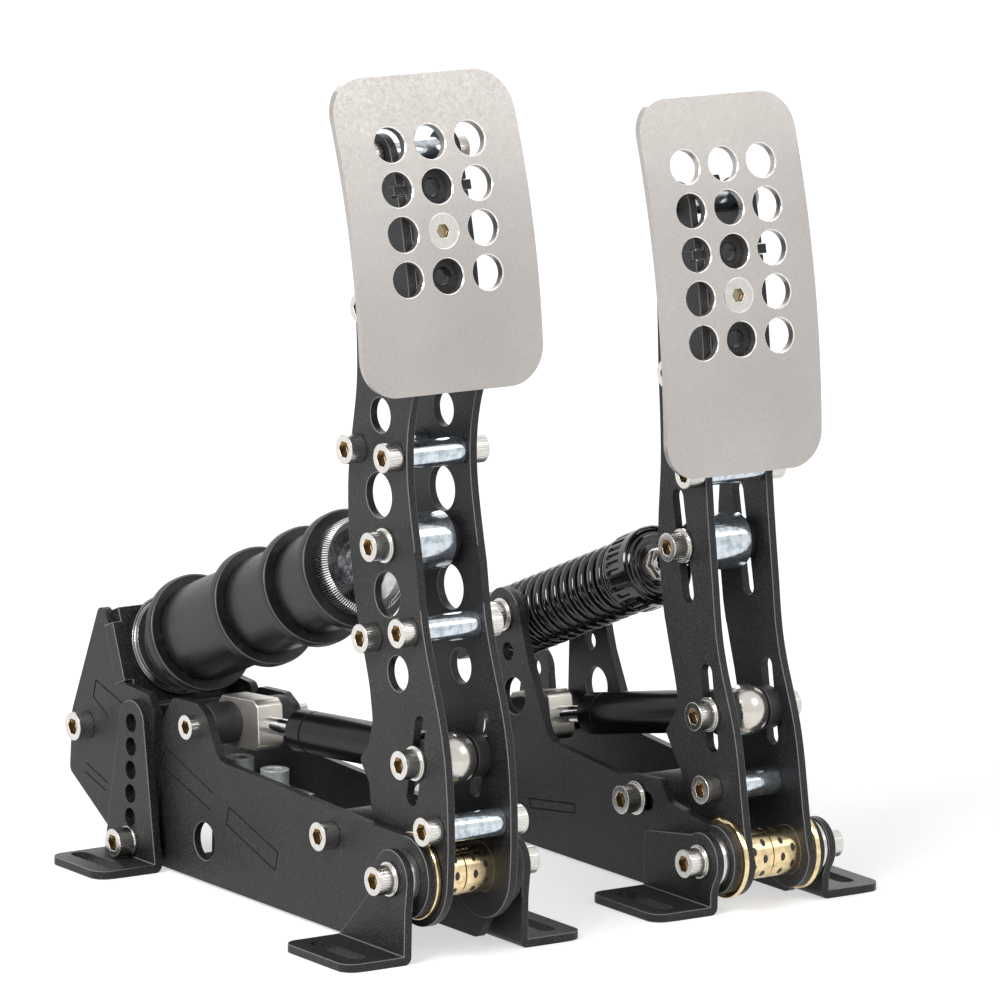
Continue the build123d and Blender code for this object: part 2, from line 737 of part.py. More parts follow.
def rear_feet(name, x, y, column_y, inner_x):
    """Two rear feet, each an upright with a column of height holes above a slotted flange."""
    half = rear_foot_length / 2
    top = foot_hole_pitch * foot_holes
    with BuildPart() as feet:
        for side in (-1, 1):
            inner = x + side * inner_x
            with BuildSketch(side_plane(inner, y)):
                with BuildLine():
                    Polyline((column_y - half, 0), (column_y + half, 0), (column_y + half, foot_thickness),
                             (column_y + rear_foot_top_radius, top), (column_y - rear_foot_top_radius, top),
                             (column_y - half, foot_thickness), close=True)
                make_face()
                with Locations((column_y, top)):
                    Circle(rear_foot_top_radius)
                for step in range(1, foot_holes + 1):
                    with Locations((column_y, step * foot_hole_pitch)):
                        Circle(foot_hole_radius, mode=Mode.SUBTRACT)
            extrude(amount=side * foot_thickness)
            width = foot_reach - inner_x
            with BuildSketch(Plane(origin=(x + side * (inner_x + width / 2), y + column_y, 0))):
                with Locations((-side * foot_corner / 2, 0)):
                    Rectangle(width - foot_corner, rear_foot_length)
                with Locations((side * (width / 2 - foot_corner), 0)):
                    RectangleRounded(2 * foot_corner, rear_foot_length, foot_corner - edge_break)
            extrude(amount=foot_thickness)
            with BuildSketch(Plane(origin=(x + side * foot_slot_x, y + column_y, 0))):
                SlotOverall(foot_slot_length, foot_slot_width, rotation=90)
            extrude(amount=foot_thickness, mode=Mode.SUBTRACT)
            bend = feet.edges().filter_by(Axis.Y).filter_by_position(Axis.Z, 0, 0)
            bend = bend.filter_by_position(Axis.X, inner - edge_break, inner + edge_break)
            fillet(bend, foot_bend)
    save(feet, name)


def damper_frame(x, y, trunnion, ball):
    """Plane along a damper from its trunnion to its ball, and the distance between them."""
    run = math.dist(trunnion, ball)
    plane = line_plane(x, y + trunnion[0], trunnion[1], (ball[0] - trunnion[0]) / run, (ball[1] - trunnion[1]) / run)
    return plane, run


def damper(prefix, x, y, trunnion, ball):
    """Hydraulic damper: nickel block on the trunnion, chrome rod, black cylinder and ball eye."""
    plane, run = damper_frame(x, y, trunnion, ball)
    axis = Axis(plane.origin, plane.x_dir)
    block_middle = (damper_block_front - damper_block_back) / 2
    with BuildPart() as block:
        with BuildSketch(plane):
            with Locations((block_middle, 0)):
                Rectangle(damper_block_front + damper_block_back, damper_block_height)
        extrude(amount=damper_block_width / 2 - running_gap, both=True)
        chamfer(block.edges().filter_by(Axis.X), block_chamfer)
        with BuildSketch(plane):
            Circle(shank_radius + bore_clearance)
        extrude(amount=damper_block_width, both=True, mode=Mode.SUBTRACT)
    save(block, f"{prefix}_damper_block")
    with BuildPart() as rod_piece:
        outline = ((damper_block_front, 0), (damper_start + rod_insert, 0), (damper_start + rod_insert, damper_rod_radius),
                   (damper_block_front, damper_rod_radius))
        revolve(profiles=turned(plane, outline), axis=axis)
    save(rod_piece, f"{prefix}_damper_rod")
    end = run - damper_end_gap
    bore = damper_rod_radius + bore_clearance
    low = damper_radius - groove_depth
    with BuildPart() as cylinder:
        outline = ((damper_start, bore), (damper_start + damper_bore_depth, bore),
                   (damper_start + damper_bore_depth, 0), (run, 0), (run, damper_neck_radius),
                   (end, damper_neck_radius), (end, damper_radius - edge_break), (end - edge_break, damper_radius),
                   (damper_groove + groove_width, damper_radius), (damper_groove + groove_width, low),
                   (damper_groove, low), (damper_groove, damper_radius), (damper_start + edge_break, damper_radius),
                   (damper_start, damper_radius - edge_break))
        revolve(profiles=turned(plane, outline), axis=axis)
        with Locations(Location(plane.origin + plane.x_dir * run)):
            Sphere(ball_radius, mode=Mode.SUBTRACT)
    save(cylinder, f"{prefix}_damper_cylinder")
    with BuildPart() as eye:
        with Locations(Location(plane.origin + plane.x_dir * run)):
            Sphere(ball_radius)
        with BuildSketch(cross_plane(x, y + ball[0], ball[1])):
            Circle(ball_radius)
        extrude(amount=ball_half_width, both=True, mode=Mode.INTERSECT)
        with BuildSketch(cross_plane(x, y + ball[0], ball[1])):
            Circle(shank_radius + joint_clearance)
        extrude(amount=ball_radius, both=True, mode=Mode.SUBTRACT)
    save(eye, f"{prefix}_damper_ball")


def flanged_disc(name, plane, start, bore, mark=False):
    """Stack disc with a chamfered lip at each rim, and a small drilled mark where asked for."""
    end = start + disc_thickness
    waist = disc_radius - disc_lip / 2
    with BuildPart() as disc:
        outline = ((start, bore), (end, bore), (end, waist), (end - disc_lip, disc_radius),
                   (start + disc_lip, disc_radius), (start, waist))
        revolve(profiles=turned(plane, outline), axis=Axis(plane.origin, plane.x_dir))
        if mark:
            middle = plane.origin + plane.x_dir * ((start + end) / 2) - plane.y_dir * disc_radius
            with BuildSketch(Plane(origin=middle, x_dir=(1, 0, 0), z_dir=-plane.y_dir)):
                Circle(disc_mark_radius)
            extrude(amount=-disc_thickness, mode=Mode.SUBTRACT)
    save(disc, name)


def rubber(name, plane, start, length, bore):
    """Rubber cushion between two discs, rounded at both ends."""
    end = start + length
    shoulder = rubber_radius - rubber_round
    outline = ((start, bore), (end, bore), (end, shoulder), (end - rubber_round, rubber_radius),
               (start + rubber_round, rubber_radius), (start, shoulder))
    disc_group((outline,), plane, name)


def helix_point(angle, radius, rise):
    """Point and unit direction on a helix about Z at an angle from its start."""
    length = math.hypot(radius, rise)
    point = Vector(radius * math.cos(angle), radius * math.sin(angle), rise * angle)
    direction = Vector(-radius * math.sin(angle), radius * math.cos(angle), rise) * (1 / length)
    return point, direction


def biarc(start, start_direction, end, end_direction):
    """Joint and its direction for two arcs that link two points smoothly."""
    across = end - start
    both = start_direction + end_direction
    spread = 2 * (1 - start_direction.dot(end_direction))
    reach = (math.sqrt(across.dot(both) ** 2 + spread * across.dot(across)) - across.dot(both)) / spread
    joint = (start + end + (start_direction - end_direction) * reach) * 0.5
    direction = (end - end_direction * reach) - (start + start_direction * reach)
    return joint, direction.normalized()


def spring(name, plane):
    """Compression spring: one wire swept along half-turn biarcs, its ends on the two seats."""
    middle_radius = spring_outer_radius - wire_radius
    climb = spring_length - 2 * (wire_radius + wire_radius * wire_radius / middle_radius / spring_turns)
    rise = climb / (2 * math.pi * spring_turns)
    halves = round(2 * spring_turns)
    with BuildPart() as wire:
        with BuildLine() as path:
            for half in range(halves):
                start, start_direction = helix_point(half * math.pi, middle_radius, rise)
                end, end_direction = helix_point((half + 1) * math.pi, middle_radius, rise)
                joint, direction = biarc(start, start_direction, end, end_direction)
                TangentArc(start, joint, tangent=start_direction)
                TangentArc(joint, end, tangent=direction)
        with BuildSketch(Plane(origin=path.line @ 0, z_dir=path.line % 0)):
            Circle(wire_radius)
        sweep(path=path.line)
    seat = (spring_length - climb) / 2
    frame = Plane(origin=plane.origin + plane.x_dir * (spring_start + seat), x_dir=plane.y_dir, z_dir=plane.x_dir)
    placed_wire = frame.location * wire.part
    placed_wire.label = name
    export_step(placed_wire, f"parts/{name}.step")
    print("spring: gap between turns", round(climb / spring_turns - 2 * wire_radius, 2), "mm")


# Faces of the two pedal plates, used by what follows them
brake_face = (brake_face_radius, brake_face_y, brake_face_z, brake_plate_low)
throttle_face = (throttle_face_radius, throttle_face_y, throttle_face_z, throttle_plate_low)
brake_ball = (brake_ball_y, ball_z)
throttle_ball = (throttle_ball_y, ball_z)
brake_barrel_place = (brake_barrel_y, brake_barrel_z)
throttle_barrel_place = (throttle_barrel_y, throttle_barrel_z)
brake_trunnion = (brake_trunnion_y, brake_trunnion_z)
throttle_trunnion = (throttle_trunnion_y, throttle_trunnion_z)
brake_stack = line_plane(brake_x, brake_y + brake_barrel_y, brake_barrel_z, tilt_y, tilt_z)
throttle_stack = line_plane(throttle_x, throttle_y + throttle_barrel_y, throttle_barrel_z, tilt_y, tilt_z)

# Arms
brake_tab_angle = (rise_angle(brake_face_radius, brake_face_z, brake_top_row_z)
                   - (brake_screw_row - 1) * row_pitch / brake_face_radius)
throttle_tab_angle = (rise_angle(throttle_face_radius, throttle_face_z, throttle_top_row_z)
                      - (throttle_screw_row - 1) * row_pitch / throttle_face_radius)
for side_name, left_face in (("left", -arm_outer), ("right", half_gap)):
    arm(f"brake_arm_{side_name}", brake_x, brake_y, left_face, brake_face, brake_spacers[0][1],
        brake_arm_front_shares, brake_arm_rear_shares + brake_arm_waist_shares, brake_hook_shares, brake_arm_height,
        brake_pivot_z, nose_radius, (*brake_spacers, brake_barrel_place, brake_ball), brake_windows, brake_slots,
        brake_tab_angle, (*brake_spacers[0], crown_radius))
    arm(f"throttle_arm_{side_name}", throttle_x, throttle_y, left_face, throttle_face, throttle_spacers[0][1],
        throttle_arm_front_shares, throttle_arm_rear_shares + throttle_arm_waist_shares, throttle_hook_shares,
        throttle_arm_height, throttle_pivot_z, throttle_nose_radius,
        (*throttle_spacers, throttle_barrel_place, throttle_ball), throttle_windows, throttle_slots,
        throttle_tab_angle, (*throttle_spacers[0], crown_radius))

# Pedal plates and the strips that carry them
pedal_plate("brake_pedal_plate", brake_x, brake_y, brake_face, brake_plate_width, brake_plate_high,
            brake_plate_corner, brake_top_row_z, brake_rows, brake_screw_row)
pedal_plate("throttle_pedal_plate", throttle_x, throttle_y, throttle_face, throttle_plate_width,
            throttle_plate_high, throttle_plate_corner, throttle_top_row_z, throttle_rows, throttle_screw_row)
plate_strip("brake_plate_strip", brake_x, brake_y, brake_face, brake_top_row_z, brake_rows, brake_screw_row)
plate_strip("throttle_plate_strip", throttle_x, throttle_y, throttle_face, throttle_top_row_z, throttle_rows,
            throttle_screw_row)

# Screws, bushes, spacers and cross tubes of the arms
arm_screws("brake_arm_screws", brake_x, brake_y, brake_spacers, brake_ball, brake_barrel_place, brake_face,
           brake_top_row_z, brake_rows, brake_screw_row)
arm_screws("throttle_arm_screws", throttle_x, throttle_y, throttle_spacers, throttle_ball, throttle_barrel_place,
           throttle_face, throttle_top_row_z, throttle_rows, throttle_screw_row)
bushes("brake_pivot_bushes", brake_x, brake_y, brake_pivot_z)
bushes("throttle_pivot_bushes", throttle_x, throttle_y, throttle_pivot_z)
cross_spacers("brake_arm_spacers", brake_x, brake_y, brake_ball, brake_barrel_place)
cross_spacers("throttle_arm_spacers", throttle_x, throttle_y, throttle_ball, throttle_barrel_place)
tubes("brake_cross_tubes", brake_x, brake_y, brake_spacers, spacer_radius, shank_radius, ((-half_gap, half_gap),))
tubes("throttle_cross_tubes", throttle_x, throttle_y, throttle_spacers, spacer_radius, shank_radius,
      ((-half_gap, half_gap),))

# Base side plates
brake_side_holes = ((brake_hole_y, brake_hole_z, large_hole_radius),
                    (brake_stop_y, brake_stop_z, shank_radius + hole_clearance),
                    (*brake_trunnion, shank_radius))
throttle_side_holes = ((throttle_small_hole_y, throttle_small_hole_z, small_hole_radius),
                       (throttle_large_hole_y, throttle_large_hole_z, large_hole_radius),
                       (yoke_y, yoke_z, shank_radius), (*throttle_trunnion, shank_radius),
                       (throttle_rear_foot_y, foot_hole_pitch, shank_radius))
stop_slot = (throttle_stop_y + stop_slot_offset, throttle_stop_z, stop_slot_length, 2 * foot_hole_radius)
for side_name, side in (("left", -1), ("right", 1)):
    side_plate(f"brake_side_plate_{side_name}", brake_x, brake_y, side, brake_side_shares, brake_side_length,
               brake_side_height, brake_pivot_z, brake_side_nose, brake_side_holes, (), brake_mark_shares)
    side_plate(f"throttle_side_plate_{side_name}", throttle_x, throttle_y, side, throttle_side_shares,
               throttle_side_length, throttle_side_height, throttle_pivot_z, throttle_side_nose,
               throttle_side_holes, (stop_slot,), throttle_mark_shares, (yoke_y, yoke_z, throttle_boss_radius))

# Floor plates between the side plates
with BuildPart() as floor_plates:
    for x, y in ((brake_x, brake_y), (throttle_x, throttle_y)):
        middle = y + floor_front + floor_length / 2
        with BuildSketch(Plane(origin=(x, middle, floor_lift))):
            Rectangle(2 * side_inner, floor_length)
        extrude(amount=floor_thickness)
save(floor_plates, "floor_plates")

# Pivot pins, one in each pedal, threaded at both ends
with BuildPart() as pivot_pins:
    for x, y, z in ((brake_x, brake_y, brake_pivot_z), (throttle_x, throttle_y, throttle_pivot_z)):
        with BuildSketch(cross_plane(x, y, z)):
            Circle(pin_radius)
        extrude(amount=bracket_outer, both=True)
        for side in (-1, 1):
            with BuildSketch(cross_plane(x + side * bracket_outer, y, z, side)):
                Circle(shank_radius)
            extrude(amount=-2 * thread_reach, mode=Mode.SUBTRACT)
save(pivot_pins, "pivot_pins")

# Cross bars: a stop bar in each pedal and the tube between the rear brackets
with BuildPart() as cross_bars:
    for x, y, z, radius, half in (
            (brake_x, brake_y + brake_stop_y, brake_stop_z, stop_radius, side_inner),
            (throttle_x, throttle_y + throttle_stop_y, throttle_stop_z, stop_radius, side_inner),
            (brake_x, brake_y + rear_bolt_y, rear_bolt_z, rear_tube_radius, side_outer)):
        with BuildSketch(cross_plane(x, y, z)):
            Circle(radius)
            Circle(shank_radius, mode=Mode.SUBTRACT)
        extrude(amount=half, both=True)
save(cross_bars, "cross_bars")

# Axles that the damper blocks swing on, each with its two black spacers
with BuildPart() as damper_axles:
    for x, y, z in ((brake_x, brake_y + brake_trunnion_y, brake_trunnion_z),
                    (throttle_x, throttle_y + throttle_trunnion_y, throttle_trunnion_z)):
        with BuildSketch(cross_plane(x, y, z)):
            Circle(shank_radius)
        extrude(amount=side_outer, both=True)
        for side in (-1, 1):
            with BuildSketch(cross_plane(x + side * damper_block_width / 2, y, z, side)):
                Circle(trunnion_spacer_radius)
            extrude(amount=side_inner - damper_block_width / 2)
save(damper_axles, "damper_axles")

# Screws of the brake frame
m6 = (shank_radius, head_radius, head_height)
m5 = (small_shank_radius, small_head_radius, small_head_height)
foot_face = foot_outer + washer_thickness
brake_screw_places = []
brake_washers = []
throttle_screw_places = []
throttle_washers = []
for side in (-1, 1):
    pivot_reach = washer_thickness + foot_thickness + thread_reach
    brake_screw_places.append((brake_x + side * foot_face, brake_y, brake_pivot_z, side, pivot_reach, *m6))
    brake_washers.append((brake_x + side * foot_outer, brake_y, brake_pivot_z, side, washer_thickness,
                          washer_radius, shank_radius))
    brake_washers.append((brake_x + side * side_outer, brake_y, brake_pivot_z, side, bracket_thickness,
                          pivot_washer_radius, pin_radius))
    brake_screw_places.append((brake_x + side * side_outer, brake_y + brake_stop_y, brake_stop_z, side,
                               side_thickness + thread_reach, *m6))
    brake_screw_places.append((brake_x + side * bracket_outer, brake_y + rear_bolt_y, rear_bolt_z, side,
                               bracket_thickness + thread_reach, *m6))
    brake_screw_places.append((brake_x + side * foot_face, brake_y + rear_foot_y, foot_hole_pitch, side,
                               washer_thickness + foot_thickness + bracket_thickness + nut_height, *m6))
    brake_washers.append((brake_x + side * foot_outer, brake_y + rear_foot_y, foot_hole_pitch, side,
                          washer_thickness, foot_washer_radius, shank_radius))
    brake_washers.append((brake_x + side * side_outer, brake_y + rear_foot_y, foot_hole_pitch, -side, nut_height,
                          nut_radius, shank_radius))
    brake_screw_places.append((brake_x + side * side_outer, brake_y + brake_trunnion_y, brake_trunnion_z, side,
                               0, *m5))
    throttle_screw_places.append((throttle_x + side * foot_face, throttle_y, throttle_pivot_z, side, pivot_reach,
                                  *m6))
    throttle_washers.append((throttle_x + side * foot_outer, throttle_y, throttle_pivot_z, side, washer_thickness,
                             washer_radius, shank_radius))
    throttle_washers.append((throttle_x + side * side_outer, throttle_y, throttle_pivot_z, side,
                             bracket_thickness, pivot_washer_radius, pin_radius))
    throttle_screw_places.append((throttle_x + side * (side_outer + washer_thickness), throttle_y + throttle_stop_y,
                                  throttle_stop_z, side, washer_thickness + side_thickness + thread_reach, *m6))
    throttle_washers.append((throttle_x + side * side_outer, throttle_y + throttle_stop_y, throttle_stop_z, side,
                             washer_thickness, washer_radius, shank_radius))
    throttle_screw_places.append((throttle_x + side * (side_outer + washer_thickness), throttle_y + yoke_y, yoke_z,
                                  side, washer_thickness + side_outer - yoke_inner, *m6))
    throttle_washers.append((throttle_x + side * side_outer, throttle_y + yoke_y, yoke_z, side, washer_thickness,
                             washer_radius, shank_radius))
    throttle_screw_places.append((throttle_x + side * (bracket_outer + washer_thickness),
                                  throttle_y + throttle_rear_foot_y, foot_hole_pitch, side,
                                  washer_thickness + foot_thickness + side_thickness + nut_height, *m6))
    throttle_washers.append((throttle_x + side * bracket_outer, throttle_y + throttle_rear_foot_y,
                             foot_hole_pitch, side, washer_thickness, foot_washer_radius, shank_radius))
    throttle_washers.append((throttle_x + side * side_inner, throttle_y + throttle_rear_foot_y, foot_hole_pitch,
                             -side, nut_height, nut_radius, shank_radius))
    throttle_screw_places.append((throttle_x + side * side_outer, throttle_y + throttle_trunnion_y,
                                  throttle_trunnion_z, side, 0, *m5))
cell_screw_places = []
for screw_y, pitch in ((front_block_y, cell_screw_pitch), (rear_screw_y, rear_screw_pitch)):
    for end in (-1, 1):
        place_y = brake_y + screw_y + end * pitch / 2
        cell_screw_places.append((brake_x, place_y, cell_top + screw_washer, 0,
                                  screw_washer + cell_height + rear_block_thickness, *m6))
        brake_washers.append((brake_x, place_y, cell_top, 0, screw_washer, washer_radius - edge_break,
                              shank_radius))
screws("brake_frame_screws", brake_screw_places, brake_washers, cell_screw_places)
screws("throttle_frame_screws", throttle_screw_places, throttle_washers)

# Feet
brake_shoulder = ((foot_boss_radius, brake_pivot_z - foot_boss_radius / 2),)
shoulder_z = throttle_pivot_z + foot_boss_radius / 2
throttle_shoulder = ((throttle_front_end, shoulder_z - shoulder_round),
                     (throttle_front_end - shoulder_round * round_share, shoulder_z - shoulder_round * round_share),
                     (throttle_front_end - shoulder_round, shoulder_z),
                     (foot_boss_radius / 2, throttle_pivot_z + foot_boss_radius * shoulder_share))
front_feet("brake_front_feet", brake_x, brake_y, brake_pivot_z, brake_front_start, brake_front_end, brake_shoulder)
front_feet("throttle_front_feet", throttle_x, throttle_y, throttle_pivot_z, throttle_front_start,
           throttle_front_end, throttle_shoulder)
rear_feet("brake_rear_feet", brake_x, brake_y, rear_foot_y, bracket_outer)
rear_feet("throttle_rear_feet", throttle_x, throttle_y, throttle_rear_foot_y, side_outer)

# Rear brackets that hold the load plate of the brake against the load cell
load_plate_middle = load_plate_start + load_plate_thickness / 2
load_plate_y = brake_barrel_y + load_plate_middle * tilt_y
load_plate_z = brake_barrel_z + load_plate_middle * tilt_z
with BuildPart() as rear_brackets:
    for side in (-1, 1):
        with BuildSketch(side_plane(brake_x + side * side_outer, brake_y)):
            with BuildLine():
                FilletPolyline(*placed(bracket_shares, bracket_length, bracket_height), radius=side_fillet,
                               close=True)
            make_face()
            with Locations((load_plate_y, load_plate_z)):
                Rectangle(load_plate_thickness, load_plate_tab, rotation=-math.degrees(rod_tilt),
                          mode=Mode.SUBTRACT)
            with Locations((load_plate_y - load_plate_thickness * tilt_y, load_plate_z - load_plate_thickness * tilt_z)):
                Rectangle(load_plate_thickness + hole_clearance, load_plate_tab, rotation=-math.degrees(rod_tilt),
                          mode=Mode.SUBTRACT)
            with Locations((rear_bolt_y, rear_bolt_z), (rear_foot_y, foot_hole_pitch)):
                Circle(shank_radius, mode=Mode.SUBTRACT)
        extrude(amount=side * bracket_thickness)
        outer_plane = side_plane(brake_x + side * bracket_outer, brake_y)
        for stroke in engraved(outer_plane, bracket_mark_shares, bracket_length, bracket_height):
            extrude(to_extrude=stroke, amount=-side * mark_depth, mode=Mode.SUBTRACT)
save(rear_brackets, "brake_rear_brackets")

# Load plate, square to the rod, with a tab in each bracket and a clear hole for the rod
load_plane = Plane(origin=brake_stack.origin + brake_stack.x_dir * load_plate_start, x_dir=(1, 0, 0),
                   z_dir=brake_stack.x_dir)
with BuildPart() as load_plate:
    with BuildSketch(load_plane):
        with Locations((0, load_plate_drop)):
            Rectangle(2 * side_outer, load_plate_height)
        Rectangle(2 * (bracket_outer + tab_proud), load_plate_tab)
        Circle(brake_rod_radius + joint_clearance, mode=Mode.SUBTRACT)
    extrude(amount=load_plate_thickness)
save(load_plate, "brake_load_plate")

# Load cell bar and the two blocks that it bridges
cell_middle_y = brake_y + cell_front + cell_length / 2
front_screws_y = brake_y + front_block_y
with BuildPart() as load_cell:
    with BuildSketch(Plane(origin=(brake_x, cell_middle_y, cell_bottom))):
        Rectangle(cell_width, cell_length)
    extrude(amount=cell_height)
    with BuildSketch(side_plane(brake_x, cell_middle_y)):
        with Locations((cell_window_length / 4, cell_bottom + cell_height / 2)):
            SlotOverall(cell_window_length, cell_window_height)
    extrude(amount=cell_width, both=True, mode=Mode.SUBTRACT)
    for screw_y, pitch in ((front_screws_y, cell_screw_pitch), (brake_y + rear_screw_y, rear_screw_pitch)):
        for end in (-1, 1):
            with BuildSketch(Plane(origin=(brake_x, screw_y + end * pitch / 2, cell_top))):
                Circle(shank_radius)
            extrude(amount=-cell_height, mode=Mode.SUBTRACT)
save(load_cell, "brake_load_cell")

with BuildPart() as cell_blocks:
    with BuildSketch(Plane(origin=(brake_x, front_screws_y, floor_lift + floor_thickness))):
        Rectangle(cell_width, front_block_length)
    extrude(amount=block_top - floor_lift - floor_thickness)
    with BuildSketch(Plane(origin=(brake_x, brake_y + rear_block_y, block_top))):
        Rectangle(2 * side_outer, rear_block_length)
    extrude(amount=-rear_block_thickness)
    for screw_y, pitch in ((front_screws_y, cell_screw_pitch), (brake_y + rear_screw_y, rear_screw_pitch)):
        for end in (-1, 1):
            with BuildSketch(Plane(origin=(brake_x, screw_y + end * pitch / 2, block_top))):
                Circle(shank_radius)
            extrude(amount=-block_hole_depth, mode=Mode.SUBTRACT)
save(cell_blocks, "brake_cell_blocks")

# Brake rod, its barrel and what is threaded on it
barrel("brake_barrel", brake_x, brake_y, brake_barrel_place, brake_rod_radius)
rod("brake_push_rod", brake_x, brake_y, brake_barrel_place, brake_rod_radius, brake_rod_end)
rod_bore = brake_rod_radius + bore_clearance
sliding_bore = brake_rod_radius + joint_clearance
ring_outline = ((ring_start + ring_dish_depth, rod_bore), (disc_4_start, rod_bore), (disc_4_start, ring_radius),
                (ring_start, ring_radius), (ring_start, ring_dish_radius),
                (ring_start + ring_dish_depth, ring_hub_radius))
disc_group((ring_outline,), brake_stack, "brake_preload_ring")
flanged_disc("brake_disc_4", brake_stack, disc_4_start, rod_bore)
flanged_disc("brake_disc_3", brake_stack, disc_3_start, sliding_bore)
flanged_disc("brake_disc_2", brake_stack, disc_2_start, sliding_bore)
flanged_disc("brake_disc_1", brake_stack, disc_1_start, sliding_bore, mark=True)
rubber("brake_rubber_1", brake_stack, disc_4_start + disc_thickness, rubber_1_length, sliding_bore)
rubber("brake_rubber_2", brake_stack, disc_3_start + disc_thickness, rubber_2_length, sliding_bore)
rubber("brake_rubber_3", brake_stack, disc_2_start + disc_thickness, rubber_3_length, sliding_bore)
stack_rings = []
for ring_begin, ring_end, ring_size in ((stack_spacer_start, silver_ring_start, pilot_radius),
                                        (silver_ring_start, thrust_washer_start, silver_ring_radius),
                                        (thrust_washer_start, load_plate_start, thrust_washer_radius)):
    stack_rings.append(((ring_begin, sliding_bore), (ring_end, sliding_bore), (ring_end, ring_size),
                        (ring_begin, ring_size)))
disc_group(stack_rings, brake_stack, "brake_thrust_rings")

# Dampers
damper("brake", brake_x, brake_y, brake_trunnion, brake_ball)
damper("throttle", throttle_x, throttle_y, throttle_trunnion, throttle_ball)

# Throttle rod, barrel, nut, dome, collar, spring and yoke
barrel("throttle_barrel", throttle_x, throttle_y, throttle_barrel_place, throttle_rod_radius)
rod("throttle_rod", throttle_x, throttle_y, throttle_barrel_place, throttle_rod_radius, throttle_rod_end)
spring_bore = throttle_rod_radius + bore_clearance
nut_plane = Plane(origin=throttle_stack.origin + throttle_stack.x_dir * nut_start, x_dir=(1, 0, 0),
                  z_dir=throttle_stack.x_dir)
with BuildPart() as rod_nut:
    with BuildSketch(nut_plane):
        RegularPolygon(nut_corner_radius, side_count=6)
    extrude(amount=nut_length)
    with BuildSketch(nut_plane.offset(nut_length)):
        Circle(cap_washer_radius)
    extrude(amount=washer_thickness)
    with BuildSketch(nut_plane):
        Circle(throttle_rod_radius)
    extrude(amount=nut_length + washer_thickness, mode=Mode.SUBTRACT)
save(rod_nut, "throttle_rod_nut")

# Cap in the collar's front recess, its face ringed by a low round bead
cap_rim = [(cap_start + rise * cap_thickness, share * cap_radius) for share, rise in cap_rim_shares]
with BuildPart() as cap:
    with BuildSketch(throttle_stack):
        with BuildLine():
            Polyline((cap_start, cap_rim[-1][1] - edge_break), (cap_start, throttle_rod_radius),
                     (cap_end, throttle_rod_radius), (cap_end, cap_radius), (cap_rim[0][0], cap_radius))
            Spline((cap_rim[0][0], cap_radius), *cap_rim, (cap_start, cap_rim[-1][1] - edge_break))
        make_face()
    revolve(axis=Axis(throttle_stack.origin, throttle_stack.x_dir))
save(cap, "throttle_spring_dome")

# Castellated collar that sets the spring's preload
recess_radius = cap_radius + running_gap
recess_end = cap_end + running_gap
with BuildPart() as collar:
    collar_outline = ((recess_end, spring_bore), (spring_start, spring_bore), (spring_start, collar_radius),
                      (collar_start, collar_radius), (collar_start, recess_radius), (recess_end, recess_radius))
    revolve(profiles=turned(throttle_stack, collar_outline), axis=Axis(throttle_stack.origin, throttle_stack.x_dir))
    notch_plane = Plane(origin=throttle_stack.origin + throttle_stack.x_dir * (spring_start - notch_margin),
                        x_dir=(1, 0, 0), z_dir=throttle_stack.x_dir)
    notch_width = math.pi * collar_radius / collar_notches
    with BuildSketch(notch_plane):
        with PolarLocations(collar_radius, collar_notches):
            Rectangle(2 * collar_notch_depth, notch_width)
    extrude(amount=-collar_notch_length, mode=Mode.SUBTRACT)
save(collar, "throttle_spring_collar")
spring("throttle_spring", throttle_stack)

yoke_plane = Plane(origin=throttle_stack.origin + throttle_stack.x_dir * perch_start, x_dir=(1, 0, 0),
                   z_dir=throttle_stack.x_dir)
with BuildPart() as yoke:
    with BuildSketch(yoke_plane):
        Rectangle(2 * (yoke_inner + yoke_arm_thickness), 2 * yoke_boss_radius)
        Circle(yoke_inner)
        Circle(throttle_rod_radius + yoke_rod_clearance, mode=Mode.SUBTRACT)
    extrude(amount=perch_length)
    for side in (-1, 1):
        with BuildSketch(line_plane(throttle_x + side * yoke_inner, throttle_y + yoke_y, yoke_z, tilt_y, tilt_z)):
            with Locations(((perch_start + perch_length - yoke_distance) / 2, 0)):
                Rectangle(perch_start + perch_length - yoke_distance, 2 * yoke_boss_radius)
            Circle(yoke_boss_radius)
            Circle(shank_radius + bore_clearance, mode=Mode.SUBTRACT)
        extrude(amount=side * yoke_arm_thickness)
save(yoke, "throttle_spring_yoke")
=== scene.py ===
"""Looks of the sim racing pedal set: plates, screws, rubber stack, spring, dampers and studio."""
import json
import logging
import math
from collections.abc import Callable, Iterator
from dataclasses import dataclass
from enum import Enum
from functools import cached_property

import bmesh
import bpy
from mathutils import Matrix, Vector

